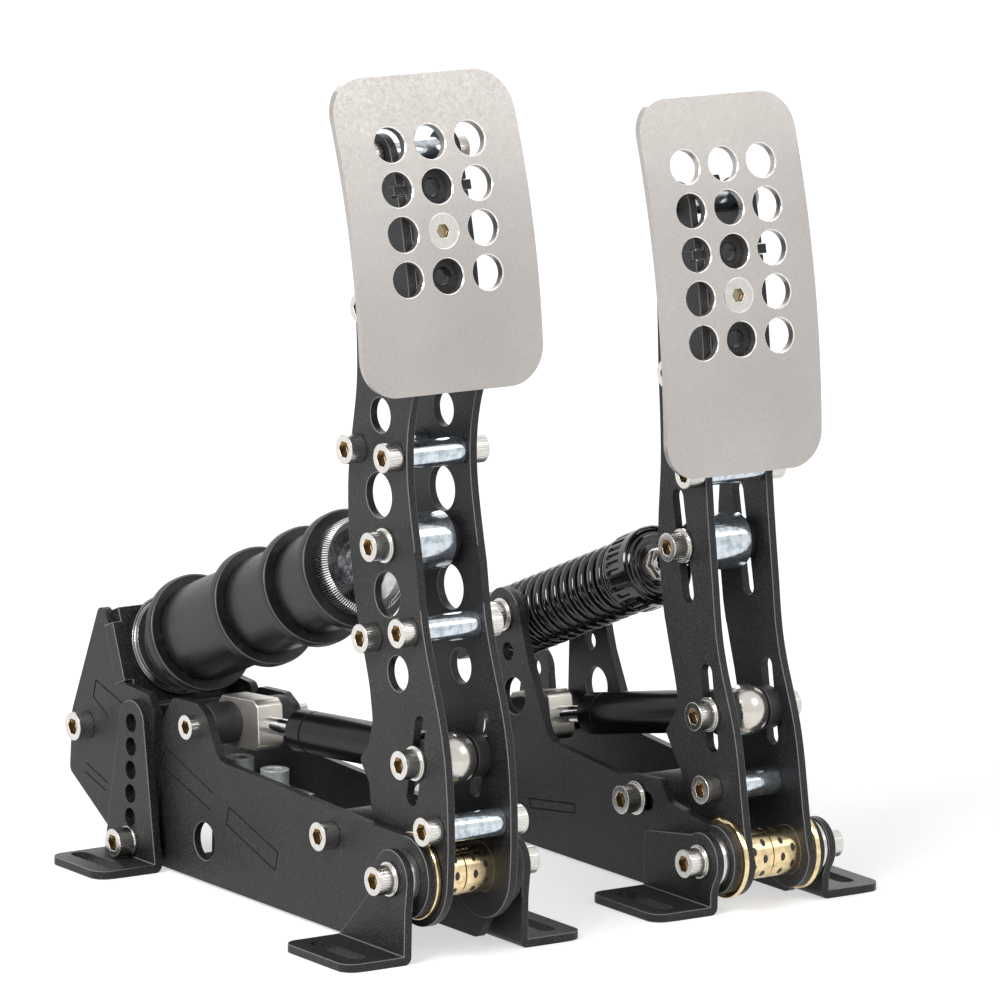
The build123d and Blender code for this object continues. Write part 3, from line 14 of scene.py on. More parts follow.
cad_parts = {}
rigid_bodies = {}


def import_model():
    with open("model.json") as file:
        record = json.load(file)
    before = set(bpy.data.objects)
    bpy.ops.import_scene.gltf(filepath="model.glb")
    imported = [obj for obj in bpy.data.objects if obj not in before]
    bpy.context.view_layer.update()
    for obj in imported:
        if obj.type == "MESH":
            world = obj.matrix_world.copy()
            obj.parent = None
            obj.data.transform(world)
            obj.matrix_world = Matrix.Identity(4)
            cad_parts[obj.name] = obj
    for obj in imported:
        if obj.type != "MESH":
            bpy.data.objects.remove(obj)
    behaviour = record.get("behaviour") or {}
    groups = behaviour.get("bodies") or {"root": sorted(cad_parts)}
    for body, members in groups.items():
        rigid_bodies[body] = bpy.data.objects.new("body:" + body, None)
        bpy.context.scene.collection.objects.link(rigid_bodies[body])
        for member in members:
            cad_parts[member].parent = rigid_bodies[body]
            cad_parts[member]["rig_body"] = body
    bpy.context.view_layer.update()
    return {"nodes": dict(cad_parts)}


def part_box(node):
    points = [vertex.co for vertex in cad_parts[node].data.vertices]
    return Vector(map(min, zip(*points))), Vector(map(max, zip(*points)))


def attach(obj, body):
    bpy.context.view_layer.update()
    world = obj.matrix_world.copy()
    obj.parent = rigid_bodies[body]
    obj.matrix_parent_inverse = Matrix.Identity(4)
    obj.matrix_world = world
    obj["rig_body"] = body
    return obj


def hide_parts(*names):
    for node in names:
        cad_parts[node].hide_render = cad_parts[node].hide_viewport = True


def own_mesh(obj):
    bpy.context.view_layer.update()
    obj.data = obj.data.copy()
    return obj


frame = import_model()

logging.basicConfig(level=logging.INFO, format="%(message)s")
log = logging.getLogger("pedals")

Mesh = bmesh.types.BMesh
Socket = bpy.types.NodeSocket
Colour = tuple[float, float, float]
Amount = float | Socket
Tint = Colour | Socket
FaceTest = Callable[[Vector], bool]
Outline = list[tuple[float, float]]

MM = 0.001
ROD_TILT = math.radians(22.7)
ROD = Vector((0.0, math.cos(ROD_TILT), -math.sin(ROD_TILT)))
FULL_TURN = 2.0 * math.pi


@dataclass(frozen=True)
class Axle:
    """A line that something turns about."""

    origin: Vector
    direction: Vector

    def sides(self) -> tuple[Vector, Vector, Vector]:
        """Unit vectors that measure a turned part.

        Returns:
            The way along the line, sideways, and square to both.
        """
        along = self.direction.normalized()
        side = Vector((1.0, 0.0, 0.0)) if abs(along.x) < 0.9 else Vector((0.0, 1.0, 0.0))
        third = along.cross(side).normalized()
        return along, third.cross(along).normalized(), third

    def local(self, point: Vector) -> Vector:
        """Place of a point in metres as distances along and across the line in millimetres."""
        away = (point - self.origin) / MM
        return Vector(away.dot(side) for side in self.sides())

    def at(self, along: float, radius: float = 0.0) -> Vector:
        """Point in metres at a distance along the line and a radius, both in millimetres."""
        way, _, outward = self.sides()
        return self.origin + (way * along + outward * radius) * MM


class Turning(Enum):
    """How the round parts of a node lie, for patterns that follow a lathe."""

    NONE = "no lathe pattern"
    EACH = "every island about its own middle"
    BRAKE_ROD = "about the brake's push rod"
    THROTTLE_ROD = "about the throttle's rod"
    BRAKE_DAMPER = "about the brake's damper"
    THROTTLE_DAMPER = "about the throttle's damper"


AXLES: dict[Turning, Axle] = {
    Turning.BRAKE_ROD: Axle(Vector((-65.0, -72.0, 136.7)) * MM, ROD),
    Turning.THROTTLE_ROD: Axle(Vector((65.0, -62.7, 122.0)) * MM, ROD),
    Turning.BRAKE_DAMPER: Axle(Vector((-65.0, 34.3, 55.0)) * MM, Vector((0.0, -126.5, 11.0))),
    Turning.THROTTLE_DAMPER: Axle(Vector((65.0, 44.1, 40.5)) * MM, Vector((0.0, -124.4, 25.5))),
}


class Recipe:
    """The nodes of one material or world, put together a step at a time."""

    def __init__(self, name: str, world: bool = False) -> None:
        """Start a material or a world.

        Args:
            name: its name.
            world: whether it is a world.
        """
        self.made = (bpy.data.worlds if world else bpy.data.materials).new(name)
        self.made.use_nodes = True
        self.nodes = self.made.node_tree.nodes
        self.links = self.made.node_tree.links

    @cached_property
    def place(self) -> Socket:
        """The object's own coordinates."""
        return self.node("TexCoord", {}, "Object")

    def node(self, kind: str, inputs: dict[int | str, Amount | Tint], output: int | str = 0,
             **settings: str) -> Socket:
        """Add one node.

        Args:
            kind: its type.
            inputs: what goes in, by place or name.
            output: what comes out, by place or name.
            settings: its own settings.

        Returns:
            The output.
        """
        node = self.nodes.new("ShaderNode" + kind)
        for name, setting in settings.items():
            setattr(node, name, setting)
        for key, value in inputs.items():
            self.put(node.inputs[key], value)
        return node.outputs[output]

    def put(self, socket: Socket, value: Amount | Tint) -> None:
        """Give an input its value.

        Args:
            socket: the input.
            value: a number, a colour or another node's output.
        """
        if isinstance(value, Socket):
            self.links.new(value, socket)
        elif isinstance(value, tuple) and socket.type == "RGBA":
            socket.default_value = (*value, 1.0)
        else:
            socket.default_value = value

    def plain(self, **values: Amount | Tint) -> None:
        """Set the shader's own sockets; underscores stand for the spaces in their names."""
        for name, value in values.items():
            self.put(self.nodes["Principled BSDF"].inputs[name.replace("_", " ")], value)

    def calc(self, operation: str, a: Amount, b: Amount = 0.0) -> Socket:
        """Result of one sum on one or two numbers."""
        return self.node("Math", {0: a, 1: b}, operation=operation)

    def times(self, a: Amount, b: Amount) -> Socket:
        """Product of two numbers."""
        return self.calc("MULTIPLY", a, b)

    def noise(self, scale: float, detail: float = 3.0, stretch: Colour = (1.0, 1.0, 1.0),
              place: Socket | None = None) -> Socket:
        """Noise from 0 to 1, with its cells per metre, detail, stretch and coordinates."""
        mapped = self.node("Mapping", {"Scale": stretch, "Vector": place or self.place}, "Vector")
        return self.node("TexNoise", {"Scale": scale, "Detail": detail, "Vector": mapped}, "Fac")

    def spread(self, value: Amount, low: float, high: float, to_low: float,
               to_high: float) -> Socket:
        """A value mapped from one range to another and kept inside."""
        return self.node("MapRange", dict(enumerate((value, low, high, to_low, to_high))), "Result")

    def blend(self, share: Amount, first: Tint, second: Tint) -> Socket:
        """Mix of two colours with a share of the second."""
        return self.node("Mix", {0: share, 6: first, 7: second}, 2, data_type="RGBA")

    def mark(self, name: str, output: str = "Fac") -> Socket:
        """Number or vector that the mesh carries under a name."""
        return self.node("Attribute", {}, output, attribute_name=name)

    def lathe(self) -> tuple[Socket, Socket, Socket]:
        """Read the mesh's own lathe coordinates.

        Returns:
            Distance along, angle and radius.
        """
        place = self.mark("lathe", "Vector")
        along, side, third = self.node("SeparateXYZ", {0: place}).node.outputs
        square = self.calc("ADD", self.times(side, side), self.times(third, third))
        return along, self.calc("ARCTAN2", third, side), self.calc("SQRT", square)

    def relief(self, height: Socket, depth: float, strength: float = 1.0,
               below: Socket | None = None) -> Socket:
        """Bump whose height of 1 stands for a depth in metres, on another bump if one is given."""
        inputs = {"Height": height, "Distance": depth, "Strength": strength}
        return self.node("Bump", inputs if below is None else inputs | {"Normal": below}, "Normal")

    def uneven(self, scale: float, detail: float, low: float, high: float) -> Socket:
        """Noise spread between two values, for roughness."""
        return self.spread(self.noise(scale, detail), 0.3, 0.7, low, high)


def shaded(colour: Colour, share: float) -> Colour:
    """A colour made darker or lighter by a share, at most white."""
    return tuple(min(1.0, part * share) for part in colour)


@dataclass(frozen=True)
class PowderCoat:
    """Fine textured black powder coat, with its softened edges painted lighter as a highlight."""

    slot: str = "black_powder_coat"
    colour: Colour = (0.0125, 0.0125, 0.014)
    # edge: colour of the painted highlight on the softened edges, and of the light specks in the
    # grain
    edge: Colour = (0.26, 0.26, 0.27)
    pits: Colour = (0.002, 0.002, 0.002)
    roughness: float = 0.4
    grain: float = 2200.0
    clouds: float = 38.0

    def make(self) -> bpy.types.Material:
        """Mix the finish.

        Returns:
            The node material.
        """
        r = Recipe(self.slot)
        cloud = r.spread(r.noise(self.clouds, 4.0), 0.3, 0.7, 0.0, 1.0)
        coat = r.blend(cloud, shaded(self.colour, 0.72), shaded(self.colour, 1.3))
        speck = r.noise(self.grain, 2.0)
        coat = r.blend(r.spread(speck, 0.55, 0.70, 0.0, 0.22), coat, self.edge)
        coat = r.blend(r.spread(speck, 0.3, 0.48, 0.85, 0.0), coat, self.pits)
        # Painted highlight: the rim faces are lightened most of the way to the edge colour.
        r.plain(Base_Color=r.blend(r.times(r.mark("rim"), 0.8), coat, self.edge),
                Metallic=0.0, Specular_IOR_Level=0.34,
                Roughness=r.uneven(self.grain, 1.0, self.roughness - 0.07, self.roughness + 0.07),
                Normal=r.relief(r.noise(self.grain, 1.5), 0.0003, 0.8))
        return r.made


@dataclass(frozen=True)
class BlastedSteel:
    """Bead-blasted stainless plate whose chamfers are smoother and painted lighter as a highlight.
    """

    slot: str = "bead_blasted_steel"
    colour: Colour = (0.535, 0.505, 0.48)
    rim_highlight_colour: Colour = (0.82, 0.81, 0.79)
    roughness: float = 0.42
    grain: float = 1900.0
    fine_grain: float = 5200.0
    clouds: float = 16.0

    def make(self) -> bpy.types.Material:
        """Mix the finish.

        Returns:
            The node material.
        """
        r = Recipe(self.slot)
        cloud = r.spread(r.noise(self.clouds, 5.0), 0.3, 0.7, 0.0, 1.0)
        base = r.blend(cloud, shaded(self.colour, 0.9), shaded(self.colour, 1.06))
        grain = r.noise(self.grain, 4.0)
        base = r.blend(r.spread(grain, 0.35, 0.68, 0.0, 0.3), base, shaded(self.colour, 0.55))
        rim = r.mark("rim")
        rough = r.uneven(700.0, 2.0, self.roughness - 0.05, self.roughness + 0.05)
        fine = r.relief(r.noise(self.fine_grain, 2.0), 0.00003, 0.4)
        # Painted highlight: the chamfers take the lighter rim colour, and less roughness.
        r.plain(Base_Color=r.blend(rim, base, self.rim_highlight_colour), Metallic=1.0,
                Roughness=r.calc("SUBTRACT", rough, r.times(rim, 0.26)),
                Normal=r.relief(grain, 0.00006, 0.6, fine))
        return r.made


@dataclass(frozen=True)
class ZincPlate:
    """Bluish bright zinc with mottled patches."""

    slot: str = "zinc_plate"
    colour: Colour = (0.70, 0.76, 0.80)
    shade: Colour = (0.27, 0.35, 0.43)
    roughness: float = 0.12
    metallic: float = 0.88
    patches: float = 420.0

    def make(self) -> bpy.types.Material:
        """Mix the finish.

        Returns:
            The node material.
        """
        r = Recipe(self.slot)
        lines = r.noise(2.2, 3.0, (1.0, 0.04, 0.04), r.mark("lathe", "Vector"))
        patch = r.spread(r.noise(self.patches, 6.0), 0.45, 0.66, 0.0, 0.7)
        base = r.blend(patch, self.colour, self.shade)
        base = r.blend(r.spread(lines, 0.5, 0.7, 0.0, 0.4), base, self.shade)
        fine = r.relief(r.noise(620.0, 3.0), 0.00003, 0.35)
        r.plain(Base_Color=base, Metallic=self.metallic,
                Roughness=r.uneven(700.0, 3.0, self.roughness - 0.05, self.roughness + 0.07),
                Normal=r.relief(lines, 0.00002, 0.5, fine))
        return r.made


@dataclass(frozen=True)
class ScrewSteel:
    """Stainless socket screws: straight knurl on the rim with painted shade in its grooves, and a
    hexagon recess painted darker and brown as shade and reflection.
    """

    slot: str = "stainless_screws"
    colour: Colour = (0.70, 0.68, 0.64)
    # recess: painted shade and brown reflection inside the hexagon socket
    recess: Colour = (0.34, 0.27, 0.18)
    # valley: painted shade in the grooves of the knurl
    valley: Colour = (0.2, 0.19, 0.18)
    teeth: float = 42.0
    roughness: float = 0.2

    def make(self) -> bpy.types.Material:
        """Mix the finish.

        Returns:
            The node material.
        """
        r = Recipe(self.slot)
        _, angle, _ = r.lathe()
        ridge = r.calc("ABSOLUTE", r.calc("SINE", r.times(angle, self.teeth / 2.0)))
        open_share = r.calc("SUBTRACT", 1.0, r.spread(ridge, 0.0, 0.55, 0.0, 1.0))
        groove = r.times(open_share, r.mark("knurl"))
        cloud = r.spread(r.noise(420.0, 4.0), 0.35, 0.7, 0.0, 0.4)
        base = r.blend(cloud, self.colour, shaded(self.colour, 0.72))
        # Painted shade: the knurl's grooves are darkened towards the valley colour.
        base = r.blend(r.times(groove, 0.42), base, self.valley)
        fine = r.relief(r.noise(700.0, 2.0), 0.00001, 0.3)
        # Painted shade and reflection: faces in the hexagon recess take the recess colour.
        r.plain(Base_Color=r.blend(r.mark("recess"), base, self.recess), Metallic=1.0,
                Roughness=r.uneven(900.0, 2.0, self.roughness - 0.03, self.roughness + 0.05),
                Normal=r.relief(groove, -0.00008, 0.55, fine))
        return r.made


@dataclass(frozen=True)
class PluggedBronze:
    """Turned bronze with rows of dark graphite plugs, sizes in millimetres."""

    slot: str = "bronze"
    colour: Colour = (0.86, 0.68, 0.40)
    plug: Colour = (0.035, 0.03, 0.026)
    row_pitch: float = 4.4
    plugs_round: float = 9.0
    plug_half_length: float = 0.95
    plug_half_width: float = 1.5
    bush_radius: float = 8.5
    plugs_above: float = 8.2
    plugs_below: float = 9.0

    def make(self) -> bpy.types.Material:
        """Mix the finish.

        Returns:
            The node material.
        """
        r = Recipe(self.slot)
        along, angle, radius = r.lathe()
        row = r.calc("DIVIDE", along, self.row_pitch)
        nearest = r.calc("ROUND", row)
        across = r.times(r.calc("SUBTRACT", row, nearest), self.row_pitch)
        turn = r.calc("ADD", r.times(angle, self.plugs_round / FULL_TURN), r.times(nearest, 0.5))
        round_way = r.times(r.calc("SUBTRACT", turn, r.calc("ROUND", turn)),
                            FULL_TURN * self.bush_radius / self.plugs_round)
        size = r.calc("ADD",
                      r.calc("POWER", r.calc("DIVIDE", across, self.plug_half_length), 2.0),
                      r.calc("POWER", r.calc("DIVIDE", round_way, self.plug_half_width), 2.0))
        plug = r.times(r.spread(size, 0.8, 1.15, 1.0, 0.0),
                       r.spread(radius, self.plugs_below, self.plugs_below + 0.1, 1.0, 0.0))
        plug = r.times(plug, r.spread(radius, self.plugs_above, self.plugs_above + 0.1, 0.0, 1.0))
        stain = r.noise(300.0, 4.0)
        base = r.blend(r.spread(stain, 0.45, 0.70, 0.0, 0.6), self.colour,
                       shaded(self.colour, 0.45))
        rough = r.spread(stain, 0.3, 0.7, 0.08, 0.17)
        r.plain(Base_Color=r.blend(plug, base, self.plug),
                Metallic=r.calc("SUBTRACT", 1.0, plug),
                Roughness=r.calc("ADD", rough, r.times(plug, 0.4)),
                Normal=r.relief(r.calc("SINE", r.times(along, 14.0)), 0.00002, 0.4))
        return r.made


@dataclass(frozen=True)
class Moulding:
    """Dark rubber, plastic, anodising or paint: a cloudy base, a fine grain and a rim painted
    lighter as a highlight.
    """

    slot: str
    colour: Colour
    # edge: colour of the light smears, and of the painted highlight on the rim
    edge: Colour
    roughness: float
    grain: float
    depth: float
    name: str = ""
    coat: float = 0.0
    rim_share: float = 0.6
    turned: bool = False
    shine: float = 0.5
    unevenness: float = 0.06

    def make(self) -> bpy.types.Material:
        """Mix the finish.

        Returns:
            The node material.
        """
        r = Recipe(self.name or self.slot)
        cloud = r.spread(r.noise(70.0, 5.0), 0.3, 0.72, 0.0, 1.0)
        base = r.blend(cloud, shaded(self.colour, 0.75), shaded(self.colour, 1.35))
        smear = r.noise(420.0, 4.0)
        base = r.blend(r.spread(smear, 0.55, 0.8, 0.0, 0.18), base, self.edge)
        # Painted highlight: the rim faces are lightened towards the edge colour.
        base = r.blend(r.times(r.mark("rim"), self.rim_share), base, self.edge)
        low = max(0.04, self.roughness - self.unevenness)
        normal = r.relief(r.noise(self.grain, 3.0), self.depth, 0.6)
        if self.turned:
            _, _, radius = r.lathe()
            normal = r.relief(r.calc("SINE", r.times(radius, 17.0)), 0.00002, 0.35, normal)
        r.plain(Base_Color=base, Metallic=0.0, Coat_Weight=self.coat, Coat_Roughness=0.08,
                Specular_IOR_Level=self.shine, Normal=normal,
                Roughness=r.spread(smear, 0.3, 0.7, low, self.roughness + self.unevenness))
        return r.made


@dataclass(frozen=True)
class BrightMetal:
    """Chrome, nickel, aluminium or turned steel with a light haze, brush lines or painted light and
    shade across knurl teeth, and a rim painted lighter as a highlight.
    """

    slot: str
    colour: Colour
    shade: Colour
    roughness: float
    name: str = ""
    depth: float = 0.00001
    brushed: bool = False
    metallic: float = 1.0
    cloud: float = 0.6
    teeth: float = 0.0

    def make(self) -> bpy.types.Material:
        """Mix the finish.

        Returns:
            The node material.
        """
        r = Recipe(self.name or self.slot)
        haze = r.spread(r.noise(260.0, 5.0), 0.4, 0.75, 0.0, self.cloud)
        base = r.blend(haze, self.colour, self.shade)
        # Painted highlight: the rim faces are lightened past the colour.
        base = r.blend(r.times(r.mark("rim"), 0.6), base, shaded(self.colour, 1.25))
        # Painted light and shade on knurl teeth: stripes round the lathe run from the dark shade
        # colour to the lit colour.
        if self.teeth:
            _, angle, _ = r.lathe()
            wave = r.calc("COSINE", r.times(angle, self.teeth))
            base = r.blend(r.spread(wave, -0.35, 0.55, 0.0, 1.0), self.shade, base)
        height = r.noise(900.0, 3.0, (1.0, 0.03, 1.0)) if self.brushed else r.noise(160.0, 2.0)
        low = max(0.03, self.roughness - 0.05)
        fine = r.relief(r.noise(500.0, 2.0), 0.00001, 0.3)
        r.plain(Base_Color=base, Metallic=self.metallic,
                Roughness=r.uneven(800.0, 3.0, low, self.roughness + 0.07),
                Normal=r.relief(height, self.depth, 0.5, fine))
        return r.made


Finish = PowderCoat | BlastedSteel | ZincPlate | ScrewSteel | PluggedBronze | Moulding | BrightMetal

RECIPES: dict[str, Finish] = {
    "coat": PowderCoat(),
    "blasted": BlastedSteel(),
    "zinc": ZincPlate(),
    "screws": ScrewSteel(),
    "bronze": PluggedBronze(),
    "rubber": Moulding("rubber", (0.0095, 0.010, 0.011), (0.03, 0.031, 0.033), 0.35, 1500.0,
                       0.00003),
    "anodised": Moulding("black_anodised", (0.010, 0.010, 0.011), (0.17, 0.17, 0.175), 0.36,
                         2400.0, 0.00003, turned=True, shine=0.4),
    "gloss": Moulding("black_gloss_wire", (0.006, 0.006, 0.007), (0.014, 0.014, 0.015), 0.1,
                      500.0, 0.000008, coat=0.4, rim_share=0.9, unevenness=0.02),
    "damper": Moulding("damper_black", (0.006, 0.006, 0.007), (0.022, 0.022, 0.023), 0.24,
                       900.0, 0.000004, rim_share=0.9, shine=0.2, unevenness=0.03),
    "plastic": Moulding("black_plastic", (0.024, 0.024, 0.025), (0.08, 0.08, 0.08), 0.55,
                        1800.0, 0.00006),
    # Painted shade: a darker copy of the powder coat for the floors of the engraved marks.
    "engraved": Moulding("black_powder_coat", (0.002, 0.002, 0.002), (0.02, 0.02, 0.02), 0.6,
                         1500.0, 0.00004, name="engraved_mark_painted_shade", shine=0.2),
    "chrome": BrightMetal("chrome_rod", (0.80, 0.80, 0.82), (0.62, 0.63, 0.66), 0.09),
    "nickel": BrightMetal("nickel", (0.66, 0.63, 0.575), (0.5, 0.47, 0.42), 0.2,
                          metallic=0.9, cloud=0.3),
    "block": BrightMetal("nickel", (0.64, 0.605, 0.55), (0.54, 0.505, 0.45), 0.33,
                         name="satin_nickel", metallic=0.85, cloud=0.3),
    "turned": BrightMetal("knurled_steel", (0.24, 0.24, 0.245), (0.18, 0.18, 0.185), 0.2,
                          depth=0.000004, cloud=0.3),
    # The knurl band's shade colour is the painted shade between its teeth.
    "band": BrightMetal("knurled_steel", (0.78, 0.78, 0.79), (0.045, 0.045, 0.048), 0.24,
                        name="knurled_band", cloud=0.0, teeth=120.0),
    "grey": BrightMetal("knurled_steel", (0.4, 0.4, 0.41), (0.26, 0.26, 0.27), 0.2,
                        name="turned_band"),
    "silver": BrightMetal("knurled_steel", (0.82, 0.82, 0.83), (0.66, 0.66, 0.68), 0.16,
                          name="polished_ring"),
    # Painted light: a lighter, less metallic copy of the screw steel, so that the washers look lit
    # where they sit in shade.
    "washer": BrightMetal("stainless_screws", (0.9, 0.89, 0.86), (0.74, 0.73, 0.70), 0.24,
                          name="washer_painted_lit", metallic=0.4),
    # Grey-green zinc with little metal in it: a copy painted lighter, so that the load cell's
    # screws look lit where they sit in shade.
    "passivated_painted_lit": BrightMetal("zinc_plate", (0.52, 0.56, 0.53), (0.36, 0.40, 0.38), 0.3,
                              name="passivated_screws", metallic=0.3, cloud=0.5),
    "cell": BrightMetal("cell_aluminium", (0.70, 0.71, 0.72), (0.55, 0.56, 0.58), 0.34,
                        depth=0.00002, brushed=True),
}


@dataclass(frozen=True)
class CapScrew:
    """Sizes by which the faces of a cap screw are told apart, in millimetres."""

    shortest_head: float = 3.5
    longest_head: float = 12.0
    least_radius: float = 4.0
    most_radius: float = 7.6
    facet: float = 2.4
    taper: float = 0.4
    socket_radius: float = 3.6
    socket_floor: float = 3.2
    socket_corners: int = 8
    off_middle: float = 0.5

    def marks(self, face: bmesh.types.BMFace, spots: list[Vector], axle: Axle) -> tuple[bool, bool]:
        """Tell whether a face is on a head's round side, and whether it is in its hexagon.

        Args:
            face: the face.
            spots: the lathe coordinates of its corners.
            axle: the screw's own line.

        Returns:
            Both answers.
        """
        radii = [spot.yz.length for spot in spots]
        least, most = min(radii), max(radii)
        length = max(s.x for s in spots) - min(s.x for s in spots)
        wide = max((spot.yz - spots[0].yz).length for spot in spots)
        knurled = (self.shortest_head < length < self.longest_head and least > self.least_radius
                   and most < self.most_radius and wide < self.facet and most - least < self.taper)
        middle = sum(spots, Vector()).x / len(spots)
        if most >= self.socket_radius or abs(middle) <= self.off_middle:
            return knurled, False
        if abs(face.normal.dot(axle.direction)) >= 0.3:
            return knurled, len(face.verts) <= self.socket_corners and least < self.socket_floor
        centre = face.calc_center_median()
        near, far = axle.local(centre), axle.local(centre + face.normal * 0.0002)
        return knurled, far.yz.length < near.yz.length


class Bench:
    """Mesh work that every sub-assembly shares."""

    screw = CapScrew()

    @staticmethod
    def islands(shape: Mesh) -> list[list[bmesh.types.BMVert]]:
        """Groups of vertices that hang together.

        Args:
            shape: the mesh to look through.

        Returns:
            One list of vertices for each group.
        """
        left, groups = set(shape.verts), []
        while left:
            group = [left.pop()]
            for vertex in group:
                for edge in vertex.link_edges:
                    other = edge.other_vert(vertex)
                    if other in left:
                        left.remove(other)
                        group.append(other)
            groups.append(group)
        return groups

    @staticmethod
    def own_axle(group: list[bmesh.types.BMVert]) -> Axle:
        """Line through a group's middle, along the one side that differs from the other two.

        Args:
            group: vertices of one round part.

        Returns:
            The part's own line.
        """
        low = Vector(min(v.co[i] for v in group) for i in range(3))
        high = Vector(max(v.co[i] for v in group) for i in range(3))
        size = high - low
        pairs = [(abs(size[(i + 1) % 3] - size[(i + 2) % 3]), i) for i in range(3)]
        direction = Vector((0.0, 0.0, 0.0))
        direction[min(pairs)[1]] = 1.0
        return Axle((low + high) / 2, direction)

    @classmethod
    def stamp(cls, shape: Mesh, turning: Turning, screws: bool = False) -> None:
        """Write the lathe coordinates, and for screws which faces are knurled or in the recess.

        Args:
            shape: the mesh to mark.
            turning: how its round parts lie.
            screws: whether it holds cap screws.
        """
        place = shape.verts.layers.float_vector.new("lathe")
        shape.faces.layers.float.new("rim")
        knurl = shape.faces.layers.float.new("knurl")
        recess = shape.faces.layers.float.new("recess")
        for group in cls.islands(shape):
            axle = AXLES.get(turning) or cls.own_axle(group)
            for vertex in group:
                vertex[place] = axle.local(vertex.co)
            for face in {f for v in group for f in v.link_faces} if screws else ():
                face[knurl], face[recess] = map(float, cls.screw.marks(
                    face, [v[place] for v in face.verts], axle))

    @staticmethod
    def turned_faces(shape: Mesh) -> Iterator[tuple[bmesh.types.BMFace, list[float], list[float]]]:
        """Go through the faces of a stamped mesh.

        Args:
            shape: the mesh.

        Yields:
            A face, and the distances along and the radii of its corners in millimetres.
        """
        place = shape.verts.layers.float_vector.get("lathe")
        for face in shape.faces:
            spots = [v[place] for v in face.verts]
            yield face, [s.x for s in spots], [math.hypot(s.y, s.z) for s in spots]

    @staticmethod
    def notch(shape: Mesh, turning: Turning,
              radius_at: Callable[[float, float, float], float]) -> None:
        """Move points of a stamped mesh in towards the line that it turns about.

        Args:
            shape: the mesh.
            turning: the line.
            radius_at: new radius for a distance along, an angle and a radius, in millimetres.
        """
        axle, place = AXLES[turning], shape.verts.layers.float_vector.get("lathe")
        for vertex in shape.verts:
            spot = vertex[place]
            radius = math.hypot(spot.y, spot.z)
            wanted = radius_at(spot.x, math.atan2(spot.z, spot.y), radius)
            if wanted < radius:
                back = axle.at(spot.x)
                vertex.co = back + (vertex.co - back) * (wanted / radius)

    @staticmethod
    def soften(shape: Mesh, width: float) -> None:
        """Bevel the edges of more than 50 degrees and mark the new faces as the rim.

        Args:
            shape: the mesh to work on.
            width: the bevel's width in millimetres.
        """
        rim = shape.faces.layers.float.get("rim")
        shape.normal_update()
        short = 2.3 * width * MM
        tight = {v for e in shape.edges if e.calc_length() < short for v in e.verts}
        sharp = [e for e in shape.edges
                 if len(e.link_faces) == 2 and e.calc_face_angle(0.0) > math.radians(50.0)
                 and e.verts[0] not in tight and e.verts[1] not in tight]
        if not sharp:
            return
        made = bmesh.ops.bevel(shape, geom=sharp, offset=width * MM, offset_type="OFFSET",
                               affect="EDGES", segments=2, profile=0.5, material=-1,
                               clamp_overlap=False)
        for face in made["faces"]:
            face[rim] = 1.0

    @classmethod
    def turned(cls, outline: Outline, turning: Turning, steps: int = 96,
               axles: tuple[Axle, ...] = ()) -> Mesh:
        """Spin a closed outline once round one or more lines, and stamp the mesh.

        Args:
            outline: distances along and radii in millimetres.
            turning: how the new round parts lie.
            steps: how many steps a turn has.
            axles: the lines, where the one that belongs to turning isn't used.

        Returns:
            The mesh.
        """
        shape = bmesh.new()
        for axle in axles or (AXLES[turning],):
            corners = [shape.verts.new(axle.at(along, radius)) for along, radius in outline]
            edges = [shape.edges.new(pair) for pair in zip(corners, corners[1:] + corners[:1])]
            bmesh.ops.spin(shape, geom=corners + edges, cent=axle.origin,
                           axis=axle.direction.normalized(), angle=FULL_TURN, steps=steps,
                           use_merge=True)
        bmesh.ops.remove_doubles(shape, verts=shape.verts, dist=0.000001)
        bmesh.ops.recalc_face_normals(shape, faces=shape.faces)
        cls.stamp(shape, turning)
        return shape


